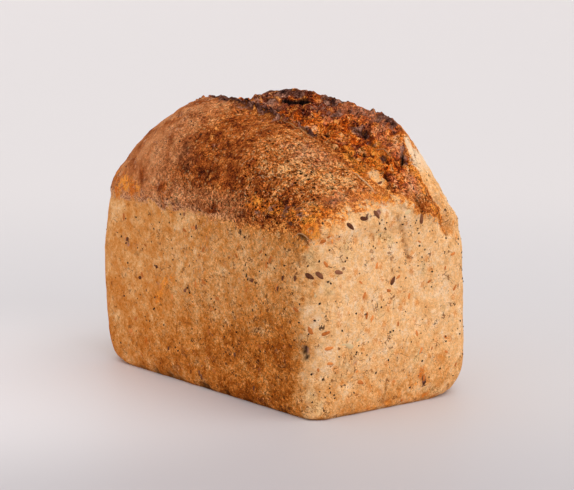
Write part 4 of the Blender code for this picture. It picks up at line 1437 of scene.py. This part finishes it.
def make_crumbs(tree, shift):
    draw = random.Random(23)
    shapes = [crumb_shape(draw) for _ in range(CRUMB_KINDS)]
    crumbs = Pieces()
    for rail, past_rail, along_x, sizes, tints, count in CRUMBS:
        for _ in range(count):
            x = draw.uniform(*along_x)
            y = along(rail, length_share(x))[0] + draw.uniform(*past_rail)
            size = sizes[0] + (sizes[1] - sizes[0]) * draw.random() ** 2
            ray = onto("crown", x, y, draw.uniform(0, math.pi))
            place = lie_on(tree, *ray, CRUMB_SINK * size)
            crumbs.add(draw.choice(shapes), place, draw.uniform(*tints), size)
    crumbs.finish("crumbs", shift, crumb_material(), "crust")


# Stage and light. The floor's colour carries painted shade round the loaf and in front of it, and painted
# light where the loaf's shadow falls
FLOOR_COLOR = (0.735, 0.70, 0.70)
FLOOR_PAINTED_LIGHT_AND_SHADE = (                           # middle, from and to what distance, colour
    # painted shade round the loaf
    ((0.0, 0.0, 0.0), (0.80, 0.20), (0.66, 0.635, 0.645)),
    # painted shade in front of the loaf
    ((0.26, -0.20, 0.0), (0.36, 0.02), (0.50, 0.465, 0.48)),
    # painted light to the -X and -Y of the loaf, where its shadow falls
    ((-0.10, -0.15, 0.0), (0.24, 0.05), (0.79, 0.755, 0.765)),
)
FLOOR_ROUGHNESS = 0.55
FLOOR_RADIUS, COVE_RADIUS = 5.0, 1.6
FLOOR_SEGMENTS, FLOOR_RINGS, COVE_RINGS = 64, 6, 12
SKY_COLOR, SKY_STRENGTH = (0.97, 0.95, 0.95, 1.0), 0.80
KEY_TOWARDS, KEY_SPREAD, KEY_STRENGTH = (0.80, 0.17, 0.58), 90, 1.80
CAMERA_NEAR, CAMERA_FAR = 0.05, 30.0


def floor_material():
    g = Graph("floor")
    colour = FLOOR_COLOR
    # Painted shade and painted light on the floor, patch by patch
    for middle, (start, end), patch in FLOOR_PAINTED_LIGHT_AND_SHADE:
        inputs = {0: g.place, 1: middle}
        apart = g.node("ShaderNodeVectorMath", inputs, operation="DISTANCE").outputs["Value"]
        colour = g.mix(g.step(apart, start, end), colour, patch)
    g.put(g.shader.inputs["Base Color"], colour)
    g.put(g.shader.inputs["Roughness"], FLOOR_ROUGHNESS)
    return g.material


def make_floor():
    """A pale round floor that curves up at its rim."""
    profile = [(FLOOR_RADIUS * k / FLOOR_RINGS, 0.0) for k in range(1, FLOOR_RINGS + 1)]
    for k in range(1, COVE_RINGS + 1):
        angle = k / COVE_RINGS * math.pi / 2
        profile.append(
            (FLOOR_RADIUS + COVE_RADIUS * math.sin(angle), COVE_RADIUS * (1 - math.cos(angle)))
        )
    points, faces = [(0.0, 0.0, 0.0)], []
    for radius, height in profile:
        first = len(points)
        inner = first - FLOOR_SEGMENTS
        for k in range(FLOOR_SEGMENTS):
            angle, after = 2 * math.pi * k / FLOOR_SEGMENTS, (k + 1) % FLOOR_SEGMENTS
            points.append((radius * math.cos(angle), radius * math.sin(angle), height))
            inside = (0,) if inner < 0 else (inner + after, inner + k)
            faces.append((*inside, first + k, first + after))
    add_object("floor", smooth_mesh("floor", points, faces, floor_material()))


def make_light():
    """A bright sky and one broad sun."""
    scene = bpy.context.scene
    scene.world = scene.world or bpy.data.worlds.new("world")
    scene.world.use_nodes = True
    sky = scene.world.node_tree.nodes["Background"]
    sky.inputs["Color"].default_value = SKY_COLOR
    sky.inputs["Strength"].default_value = SKY_STRENGTH
    key = bpy.data.lights.new("key", "SUN")
    key.angle = math.radians(KEY_SPREAD)
    key.energy = KEY_STRENGTH
    light = add_object("key", key)
    light.rotation_euler = Vector(KEY_TOWARDS).to_track_quat("Z", "Y").to_euler()
    scene.view_settings.view_transform = "Standard"


def make_camera():
    data = bpy.data.cameras.new("camera")
    data.lens = CAMERA_LENS
    data.clip_start, data.clip_end = CAMERA_NEAR, CAMERA_FAR
    camera = add_object("camera", data)
    camera.location = CAMERA_PLACE
    camera.rotation_euler = Vector(CAMERA_FORWARD).to_track_quat("-Z", "Y").to_euler()
    bpy.context.scene.camera = camera


def form_shift():
    """From the form's own origin to the frame's: the middle of the solid's flat base."""
    base = [v.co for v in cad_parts["loaf"].data.vertices if v.co.z < TOUCHING]
    return np.array([
        (min(co[axis] for co in base) + max(co[axis] for co in base)) / 2 for axis in (0, 1)
    ] + [0.0])


make_camera()
make_light()
make_floor()
shift = form_shift()
skin_tree = make_body(shift)
make_seeds(skin_tree, shift)
make_curls(skin_tree, shift)
make_crumbs(skin_tree, shift)
